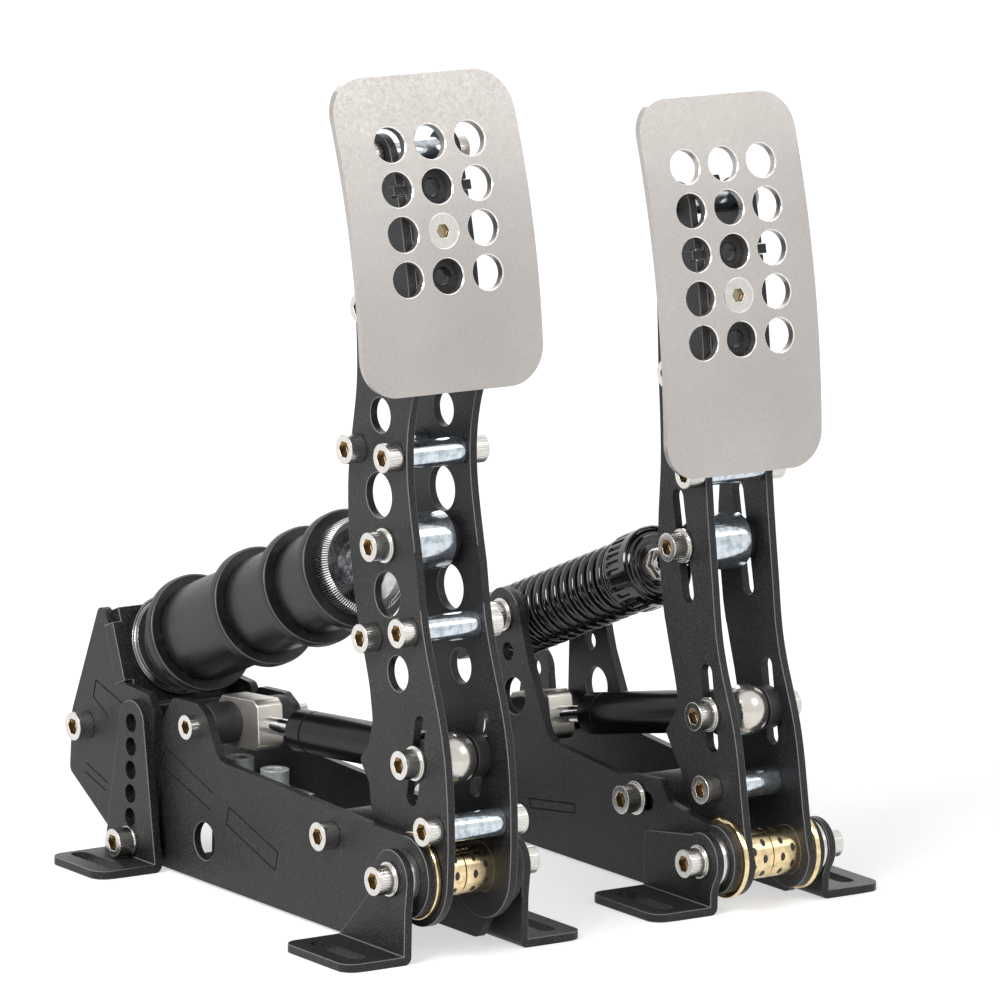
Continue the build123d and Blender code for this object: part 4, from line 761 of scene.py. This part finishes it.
@dataclass
class Assembly:
    """What every sub-assembly does with its nodes."""

    made: dict[str, bpy.types.Material]

    def seat(self, node: str, shape: Mesh, keys: tuple[str, ...],
             smooth: float = 42.0) -> bpy.types.Object:
        """Let a finished mesh stand for a node and ride on its body.

        Args:
            node: the node that it replaces.
            shape: the mesh, which is freed.
            keys: its finishes, the main one first.
            smooth: angle above which an edge stays sharp, in degrees.

        Returns:
            The new piece.
        """
        mesh = bpy.data.meshes.new("seen_" + node)
        shape.to_mesh(mesh)
        shape.free()
        mesh.shade_smooth()
        mesh.set_sharp_from_angle(angle=math.radians(smooth))
        for key in keys:
            mesh.materials.append(self.made[key])
        piece = bpy.data.objects.new("seen_" + node, mesh)
        bpy.context.scene.collection.objects.link(piece)
        piece.modifiers.new("even normals", "WEIGHTED_NORMAL").keep_sharp = True
        source = frame["nodes"][node]
        for material_slot in source.material_slots:
            material_slot.link = "OBJECT"
            material_slot.material = self.made[keys[0]]
        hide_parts(node)
        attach(piece, source["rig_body"])
        log.info("%s: %d faces, %s", piece.name, len(piece.data.polygons), keys[0])
        return piece

    @staticmethod
    def copy_of(node: str) -> Mesh:
        """Merge a copy of a node's mesh and join its flat faces.

        Args:
            node: the node.

        Returns:
            The copy.
        """
        shape = bmesh.new()
        shape.from_mesh(frame["nodes"][node].data)
        bmesh.ops.remove_doubles(shape, verts=shape.verts, dist=0.000002)
        bmesh.ops.dissolve_limit(shape, angle_limit=math.radians(0.6), verts=shape.verts,
                                 edges=shape.edges)
        return shape

    def dress(self, node: str, key: str, turning: Turning = Turning.NONE, width: float = 0.25,
              other: dict[str, FaceTest] | None = None) -> None:
        """Stand a softened copy of a node in its place and give it a finish.

        Args:
            node: the node.
            key: its finish.
            turning: how its round parts lie.
            width: width of the softened edges in millimetres.
            other: more finishes, each with a test of a face's middle in millimetres.
        """
        shape = self.copy_of(node)
        Bench.stamp(shape, turning, screws=key == "screws")
        others = other or {}
        for index, test in enumerate(others.values(), 1):
            for face in shape.faces:
                if test(face.calc_center_median() / MM):
                    face.material_index = index
        unsoftened = shape.copy()
        Bench.soften(shape, width)
        low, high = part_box(node)
        spare = 0.4 * MM
        if all(low[i] - spare < v.co[i] < high[i] + spare for v in shape.verts for i in range(3)):
            unsoftened.free()
        else:
            shape.free()
            shape = unsoftened
            log.info("%s keeps its plain edges", node)
        self.seat(node, shape, (key, *others))


@dataclass
class PlateWork(Assembly):
    """Laser-cut plates, feet, brackets, bars and their screws, sizes in millimetres."""

    coated: tuple[str, ...] = (
        "brake_side_plate_left", "brake_side_plate_right", "throttle_side_plate_left",
        "throttle_side_plate_right", "brake_front_feet", "brake_rear_feet", "throttle_front_feet",
        "throttle_rear_feet", "brake_rear_brackets", "brake_load_plate", "floor_plates",
        "brake_cell_blocks")
    marked: tuple[str, ...] = ("side_plate", "rear_brackets")
    mark_depth: float = 0.3
    mark_slack: float = 0.02
    rear_bars_from: float = 60.0
    brake_pivot: tuple[float, float] = (-94.0, 28.0)
    throttle_pivot: tuple[float, float] = (-91.6, 17.8)
    pin_head_radius: float = 7.7
    brake_middle: float = -65.0
    cell_screws_within: float = 9.6
    cell_screws_above: float = 15.0

    def build(self) -> None:
        """Dress the base of both pedals."""
        for node in self.coated:
            marks = any(part in node for part in self.marked)
            # The floors of the engraved marks take the darker copy of the coat, painted shade.
            self.dress(node, "coat", other={"engraved": self.mark_test(node)} if marks else {})
        self.dress("cross_bars", "coat", Turning.EACH,
                   other={"zinc": lambda middle: middle.y > self.rear_bars_from})
        self.dress("damper_axles", "plastic", Turning.EACH)
        # The washers under the pin heads take the copy of the steel that is painted lit.
        self.dress("pivot_pins", "screws", Turning.EACH, 0.3,
                   other={"washer": lambda middle: self.from_pivot(middle) > self.pin_head_radius})
        self.dress("brake_load_cell", "cell")
        # The load cell's own screws take the grey-green zinc that is painted lit.
        self.dress("brake_frame_screws", "screws", Turning.EACH, 0.3,
                   other={"passivated_painted_lit": self.holds_cell})
        self.dress("throttle_frame_screws", "screws", Turning.EACH, 0.3)

    def mark_test(self, node: str) -> FaceTest:
        """Make a test for the floors of the marks that are cut in a plate's outer face."""
        low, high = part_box(node)
        return lambda middle: abs(min(middle.x - low[0] / MM, high[0] / MM - middle.x)
                                  - self.mark_depth) < self.mark_slack

    def holds_cell(self, middle: Vector) -> bool:
        """Whether a point in millimetres is on one of the load cell's own screws."""
        beside = abs(middle.x - self.brake_middle)
        return beside < self.cell_screws_within and middle.z > self.cell_screws_above

    def from_pivot(self, middle: Vector) -> float:
        """Distance of a point from its pedal's pivot line, both in millimetres."""
        along, up = self.brake_pivot if middle.x < 0.0 else self.throttle_pivot
        return math.hypot(middle.y - along, middle.z - up)


@dataclass
class PedalArm(Assembly):
    """One pedal's arms with its plate, spacers, bushes and screws, sizes in millimetres."""

    pedal: str
    flange: float
    drum_y: float
    drum_z: float
    bush_bore: float = 5.1
    bush_radius: float = 8.5
    bush_length: float = 14.3
    bush_end: float = 16.15
    bush_round: float = 0.35

    def build(self) -> None:
        """Dress all of the arm's nodes."""
        for side in ("left", "right"):
            self.dress(f"{self.pedal}_arm_{side}", "coat")
        self.dress(f"{self.pedal}_plate_strip", "coat")
        self.dress(f"{self.pedal}_arm_spacers", "plastic", Turning.EACH)
        self.dress(f"{self.pedal}_cross_tubes", "zinc", Turning.EACH)
        self.bushes()
        self.dress(f"{self.pedal}_arm_screws", "screws", Turning.EACH, 0.3)
        self.dress(f"{self.pedal}_barrel", "zinc", Turning.EACH)
        self.plate()

    def bushes(self) -> None:
        """Turn the two flanged bushes that meet between the arms."""
        node = f"{self.pedal}_pivot_bushes"
        low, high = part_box(node)
        inner, outer, rounding = self.flange - self.bush_round, self.bush_end, self.bush_round
        outline = [(0.05, self.bush_bore), (0.05, self.bush_radius - 0.3), (0.3, self.bush_radius),
                   (self.bush_length, self.bush_radius), (self.bush_length, inner),
                   (self.bush_length + rounding, self.flange), (outer - rounding, self.flange),
                   (outer, inner), (outer, self.bush_bore)]
        both = tuple(Axle((low + high) / 2, Vector((side, 0.0, 0.0))) for side in (-1.0, 1.0))
        self.seat(node, Bench.turned(outline, Turning.EACH, axles=both), ("bronze",))

    def plate(self) -> None:
        """Dress the curved pedal plate and mark its chamfers as rims, which its finish paints
        lighter as a highlight.
        """
        node = f"{self.pedal}_pedal_plate"
        shape = self.copy_of(node)
        Bench.stamp(shape, Turning.NONE)
        rim = shape.faces.layers.float.get("rim")
        shape.normal_update()
        # Painted highlight: the chamfer faces are marked as rim.
        for face in shape.faces:
            middle = face.calc_center_median() / MM
            inward = Vector((0.0, self.drum_y - middle.y, self.drum_z - middle.z)).normalized()
            if 0.3 < abs(face.normal.dot(inward)) < 0.93:
                face[rim] = 1.0
        self.seat(node, shape, ("blasted",), 30.0)


@dataclass(frozen=True)
class Rubber:
    """One rubber: its place down the rod in millimetres and the share that is left when pressed."""

    node: str
    start: float
    end: float
    kept: float


@dataclass
class BrakeStack(Assembly):
    """The brake's push rod with discs, rubbers and preload ring, sizes in millimetres."""

    discs: tuple[str, ...] = ("brake_disc_4", "brake_disc_3", "brake_disc_2", "brake_disc_1")
    rubbers: tuple[Rubber, ...] = (Rubber("brake_rubber_1", 46.5, 68.0, 0.868),
                                   Rubber("brake_rubber_2", 72.5, 100.5, 0.868),
                                   Rubber("brake_rubber_3", 105.0, 144.0, 0.8632))
    rubber_radius: float = 17.5
    rubber_bore: float = 6.0
    rubber_round: float = 1.4
    belly: float = 0.22
    spacer_end: float = 160.02
    grey_ring_end: float = 162.02
    ring_start: float = 35.0
    ring_end: float = 42.0
    ring_radius: float = 17.0
    dish_radius: float = 15.1
    hub_radius: float = 9.5
    knurl_teeth: int = 120
    knurl_depth: float = 0.5
    knurl_band: float = 1.65

    def build(self) -> None:
        """Dress or replace every node of the stack."""
        self.dress("brake_push_rod", "chrome", Turning.BRAKE_ROD)
        for node in self.discs:
            self.dress(node, "anodised", Turning.BRAKE_ROD, 0.35)
        self.dress("brake_thrust_rings", "anodised", Turning.BRAKE_ROD,
                   other={"plastic": lambda middle: self.along(middle) < self.spacer_end,
                          "grey": lambda middle: self.spacer_end <= self.along(middle)
                          < self.grey_ring_end})
        for rubber in self.rubbers:
            self.rubber(rubber)
        self.ring()

    @staticmethod
    def along(middle: Vector) -> float:
        """Distance of a point down the push rod, both in millimetres."""
        return AXLES[Turning.BRAKE_ROD].local(middle * MM).x

    def rubber(self, one: Rubber) -> None:
        """Turn a rubber with rounded ends and a slight belly.

        Args:
            one: which rubber.
        """
        start, end = one.start, one.end
        big, bore, turn = self.rubber_radius, self.rubber_bore, self.rubber_round
        lip, shoulder, waist = big - turn - 0.25, big - 0.55, big - self.belly
        outline = [(start, bore), (start, lip), (start + turn * 0.3, shoulder),
                   (start + turn, waist)]
        outline += [(start + (end - start) * share, big - self.belly * (2.0 * share - 1.0) ** 2)
                    for share in (0.2, 0.35, 0.5, 0.65, 0.8)]
        outline += [(end - turn, waist), (end - turn * 0.3, shoulder), (end, lip), (end, bore)]
        made = self.seat(one.node, Bench.turned(outline, Turning.BRAKE_ROD), ("rubber",), 60.0)
        anchor = AXLES[Turning.BRAKE_ROD].at(start)
        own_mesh(made)

    def ring(self) -> None:
        """Turn the preload ring with a dished face and cut its straight knurl."""
        start, end, big = self.ring_start, self.ring_end, self.ring_radius
        outline = [(end, 5.7), (end, big - 0.6), (end - 0.5, big), (start + 1.6, big),
                   (start + 1.2, big - 0.25), (start, big - 1.6), (start, self.dish_radius),
                   (start + 0.9, 14.6), (start + 2.3, 13.6), (start + 2.5, 9.4),
                   (start + 1.2, 8.6), (start, 8.0), (start, 5.7)]
        shape = Bench.turned(outline, Turning.BRAKE_ROD, self.knurl_teeth * 2)
        Bench.notch(shape, Turning.BRAKE_ROD, lambda _, angle, radius: radius - self.knurl_depth * (
            radius > big - 1.0 and round(angle * self.knurl_teeth / math.pi) % 2))
        rim = shape.faces.layers.float.get("rim")
        for face, places, radii in Bench.turned_faces(shape):
            # Painted highlight: the outer edge of the dish is marked as rim.
            if max(places) < start + 1.25 and 14.5 < min(radii) < self.dish_radius + 0.1:
                face[rim] = 1.0
            if max(radii) < self.hub_radius:
                face.material_index = 1
            # The knurl band gets the finish that paints light and shade across its teeth.
            if min(radii) > big - self.knurl_band:
                face.material_index = 2
        self.seat("brake_preload_ring", shape, ("turned", "silver", "band"), 25.0)


@dataclass
class ThrottleStack(Assembly):
    """The throttle's rod with its cap, collar, spring and yoke, sizes in millimetres."""

    spring_start: float = 50.0
    spring_length: float = 93.0
    spring_radius: float = 13.25
    wire: float = 1.75
    turns: float = 16.5
    closed_turns: float = 1.0
    closed_gap: float = 2.04
    squashed: float = 0.737
    steps: int = 30
    collar_start: float = 37.0
    collar_end: float = 50.0
    collar_radius: float = 14.2
    collar_valley: float = 13.25
    collar_bore: float = 4.6
    dome_seat: float = 13.45
    dome_depth: float = 2.85
    ribs: int = 30
    rib_steps: int = 6

    def build(self) -> None:
        """Dress the rod's parts and wind the spring."""
        self.dress("throttle_rod", "chrome", Turning.THROTTLE_ROD)
        self.dress("throttle_rod_nut", "nickel", Turning.THROTTLE_ROD)
        self.dress("throttle_spring_dome", "gloss", Turning.THROTTLE_ROD)
        self.collar()
        self.dress("throttle_spring_yoke", "coat")
        self.spring()

    def collar(self) -> None:
        """Turn the collar that winds the spring tighter, with a ring of short grip ribs."""
        start, end, big = self.collar_start, self.collar_end, self.collar_radius
        outline = [(end, self.collar_bore), (end, big - 0.5), (end - 0.5, big), (end - 1.2, big),
                   (end - 1.5, big), (start + 4.2, big), (start + 3.9, big), (start + 0.5, big),
                   (start, big - 0.4), (start, self.dome_seat),
                   (start + self.dome_depth, self.dome_seat),
                   (start + self.dome_depth, self.collar_bore)]
        steps = self.ribs * self.rib_steps
        shape = Bench.turned(outline, Turning.THROTTLE_ROD, steps)
        Bench.notch(shape, Turning.THROTTLE_ROD, lambda along, angle, radius: (
            self.collar_valley if start + 4.1 < along < end - 1.4 and radius > big - 0.1
            and round(angle * steps / FULL_TURN) % self.rib_steps < self.rib_steps // 2
            else radius))
        rim = shape.faces.layers.float.get("rim")
        # Painted highlight: the front edge of the dome seat is marked as rim, which the finish
        # paints lighter.
        for face, places, radii in Bench.turned_faces(shape):
            if min(radii) > self.dome_seat - 0.05 and max(places) < start + 0.55:
                face[rim] = 1.0
        self.seat("throttle_spring_collar", shape, ("gloss",), 30.0)

    def spring(self) -> None:
        """Wind the wire with closed, ground ends."""
        axle = AXLES[Turning.THROTTLE_ROD]
        direction, _, third = axle.sides()
        shape = bmesh.new()
        section = bmesh.ops.create_circle(shape, cap_ends=False, radius=self.wire * MM,
                                          segments=14)["verts"]
        first = axle.at(self.spring_start + self.wire * 0.55, self.spring_radius - self.wire)
        turn = Matrix((direction, third, Vector((1.0, 0.0, 0.0)))).transposed().to_4x4()
        bmesh.ops.transform(shape, matrix=Matrix.Translation(first) @ turn, verts=section)
        closed_pitch = self.wire * self.closed_gap
        travel = self.spring_length - 1.1 * self.wire
        open_turns = self.turns - 2.0 * self.closed_turns
        open_pitch = (travel - 2.0 * self.closed_turns * closed_pitch) / open_turns
        geom = section + list({e for v in section for e in v.link_edges})
        end_turns = (self.closed_turns, closed_pitch)
        for turns, pitch in (end_turns, (open_turns, open_pitch), end_turns):
            steps = round(turns * self.steps)
            geom = bmesh.ops.spin(shape, geom=geom, cent=axle.origin, axis=direction,
                                  angle=FULL_TURN * turns, steps=steps,
                                  dvec=direction * (pitch * turns / steps * MM))["geom_last"]
        spring_end = self.spring_start + self.spring_length
        for along, outward in ((self.spring_start, -1.0), (spring_end, 1.0)):
            whole = shape.verts[:] + shape.edges[:] + shape.faces[:]
            cut = bmesh.ops.bisect_plane(shape, geom=whole, plane_co=axle.at(along),
                                         plane_no=direction * outward, clear_outer=True,
                                         dist=0.000001)["geom_cut"]
            bmesh.ops.holes_fill(shape, sides=0,
                                 edges=[e for e in cut if isinstance(e, bmesh.types.BMEdge)])
        bmesh.ops.holes_fill(shape, edges=shape.edges, sides=0)
        bmesh.ops.remove_doubles(shape, verts=shape.verts, dist=0.000001)
        bmesh.ops.recalc_face_normals(shape, faces=shape.faces)
        Bench.stamp(shape, Turning.THROTTLE_ROD)
        made = self.seat("throttle_spring", shape, ("gloss",), 60.0)
        anchor = axle.at(spring_end)
        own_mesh(made)


@dataclass
class Damper(Assembly):
    """One pedal's damper, sizes in millimetres from its rear pin."""

    pedal: str
    turning: Turning
    start: float = 36.1
    groove: float = 45.0
    groove_width: float = 0.9
    radius: float = 7.5
    rod_hole: float = 3.3
    hole_end: float = 75.0
    eye_room: float = 14.0
    neck_radius: float = 4.0
    neck_length: float = 6.5

    def build(self) -> None:
        """Dress the block, rod, cylinder and ball."""
        self.dress(f"{self.pedal}_damper_block", "block", Turning.NONE, 0.4)
        self.dress(f"{self.pedal}_damper_rod", "chrome", self.turning)
        self.cylinder()
        self.dress(f"{self.pedal}_damper_ball", "nickel", Turning.EACH)

    def cylinder(self) -> None:
        """Turn the cylinder with its gland, its groove and the neck of its eye."""
        axle = AXLES[self.turning]
        end = axle.direction.length - self.eye_room
        start, big, neck, low = self.start, self.radius, self.neck_radius, self.radius - 0.4
        first, last = self.groove, self.groove + self.groove_width
        outline = [(start, self.rod_hole), (start, big - 1.0), (start + 0.3, low),
                   (start + 0.9, big), (first - 0.15, big), (first, low), (last, low),
                   (last + 0.15, big), (end - 0.9, big), (end - 0.3, big - 0.3), (end, big - 0.8),
                   (end, neck + 0.3), (end + 0.6, neck), (end + self.neck_length, neck),
                   (end + self.neck_length, 0.4), (self.hole_end, 0.4),
                   (self.hole_end, self.rod_hole)]
        shape = Bench.turned(outline, self.turning)
        rim = shape.faces.layers.float.get("rim")
        # Painted highlight: the groove's faces are marked as rim, which the finish paints lighter.
        for face, places, _ in Bench.turned_faces(shape):
            if first - 0.2 < min(places) and max(places) < min(last + 0.2, min(places) + 0.3):
                face[rim] = 1.0
        self.seat(f"{self.pedal}_damper_cylinder", shape, ("damper",), 35.0)


@dataclass(frozen=True)
class Lamp:
    """One soft lamp: its place and size in metres and its power in watts."""

    name: str
    place: Colour
    size: float
    power: float


@dataclass
class Studio:
    """White surroundings, a pale floor, soft lamps and the camera."""

    lamps: tuple[Lamp, ...] = (Lamp("key", (-1.8, -0.6, 1.6), 1.0, 42.0),
                               Lamp("fill", (1.2, -1.9, 1.8), 1.1, 8.5),
                               Lamp("rim", (0.9, 1.6, 1.4), 1.2, 9.0))
    aim: Colour = (0.0, 0.0, 0.1)
    surround: float = 0.36
    floor_colour: Colour = (0.66, 0.66, 0.67)
    floor_size: float = 20.0
    floor_glow: float = 0.58
    far_glow: float = 0.82
    glow_from: float = 0.6
    glow_to: float = 3.0
    view_round: float = math.radians(-34.957)
    view_down: float = math.radians(11.100)
    view_roll: float = math.radians(1.049)
    view_from: Colour = (-1.775433, -2.564547, 0.744288)
    lens: float = 331.306

    def build(self) -> None:
        """Make the whole studio."""
        self.world()
        self.floor()
        for lamp in self.lamps:
            self.hang(lamp)
        self.camera()

    @staticmethod
    def white_rays(r: Recipe) -> Socket:
        """Tell the rays that see white from the ones that carry light.

        Args:
            r: the material or world.

        Returns:
            1 where the camera, a reflection or a clear part looks, else 0.
        """
        path = r.node("LightPath", {}).node.outputs
        seen = r.calc("MAXIMUM", path["Is Camera Ray"], path["Is Glossy Ray"])
        return r.calc("MAXIMUM", seen, path["Is Transmission Ray"])

    def world(self) -> None:
        """White where it is seen, and an even soft light elsewhere."""
        r = Recipe("studio", world=True)
        bpy.context.scene.world = r.made
        background = r.nodes["Background"].inputs
        r.put(background["Color"], (1.0, 1.0, 1.0))
        r.put(background["Strength"],
              r.spread(self.white_rays(r), 0.0, 1.0, self.surround, 1.0))

    def floor(self) -> None:
        """Wide pale floor that keeps a soft shadow, and glows far away where no lamp reaches."""
        shape = bmesh.new()
        bmesh.ops.create_grid(shape, x_segments=2, y_segments=2, size=self.floor_size)
        mesh = bpy.data.meshes.new("floor")
        shape.to_mesh(mesh)
        shape.free()
        floor = bpy.data.objects.new("floor", mesh)
        bpy.context.scene.collection.objects.link(floor)
        r = Recipe("floor")
        r.nodes.remove(r.nodes["Principled BSDF"])
        away = r.node("VectorMath", {0: r.place}, "Value", operation="LENGTH")
        rise = r.spread(away, self.glow_from, self.glow_to, self.floor_glow, self.far_glow)
        matt = r.node("BsdfDiffuse", {"Color": self.floor_colour})
        glow = r.node("Emission", {"Strength": r.times(self.white_rays(r), rise)})
        both = r.node("AddShader", {0: matt, 1: glow})
        r.put(r.nodes["Material Output"].inputs["Surface"], both)
        mesh.materials.append(r.made)

    def hang(self, lamp: Lamp) -> None:
        """Hang one area lamp that looks at the pedals.

        Args:
            lamp: its place, size and power.
        """
        light = bpy.data.lights.new(lamp.name, "AREA")
        light.size = lamp.size
        light.energy = lamp.power
        made = bpy.data.objects.new(lamp.name, light)
        made.location = lamp.place
        made.rotation_mode = "QUATERNION"
        made.rotation_quaternion = (Vector(self.aim) - made.location).to_track_quat("-Z", "Y")
        bpy.context.scene.collection.objects.link(made)

    def camera(self) -> None:
        """Camera at the photograph's angle."""
        sideways, level = math.sin(self.view_round), math.cos(self.view_round)
        back = Vector((sideways * math.cos(self.view_down), -level * math.cos(self.view_down),
                       math.sin(self.view_down)))
        right = Vector((level, sideways, 0.0))
        up = back.cross(right)
        across = math.cos(self.view_roll) * right + math.sin(self.view_roll) * up
        upward = -math.sin(self.view_roll) * right + math.cos(self.view_roll) * up
        lens = bpy.data.cameras.new("camera")
        lens.lens = self.lens
        lens.sensor_width = 36.0
        lens.clip_end = 50.0
        made = bpy.data.objects.new("camera", lens)
        place = Matrix((across, upward, back)).transposed().to_4x4()
        place.translation = Vector(self.view_from)
        made.matrix_world = place
        bpy.context.scene.collection.objects.link(made)
        bpy.context.scene.camera = made
        bpy.context.scene.view_settings.view_transform = "Standard"


def main() -> None:
    """Dress every sub-assembly and set up the studio."""
    made = {key: recipe.make() for key, recipe in RECIPES.items()}
    log.info("%d finishes", len(made))
    PlateWork(made).build()
    PedalArm(made, "brake", flange=14.9, drum_y=195.0, drum_z=174.0).build()
    Damper(made, "brake", Turning.BRAKE_DAMPER).build()
    PedalArm(made, "throttle", flange=13.9, drum_y=292.1, drum_z=143.7).build()
    Damper(made, "throttle", Turning.THROTTLE_DAMPER).build()
    BrakeStack(made).build()
    ThrottleStack(made).build()
    Studio().build()


if __name__ == "__main__":
    main()
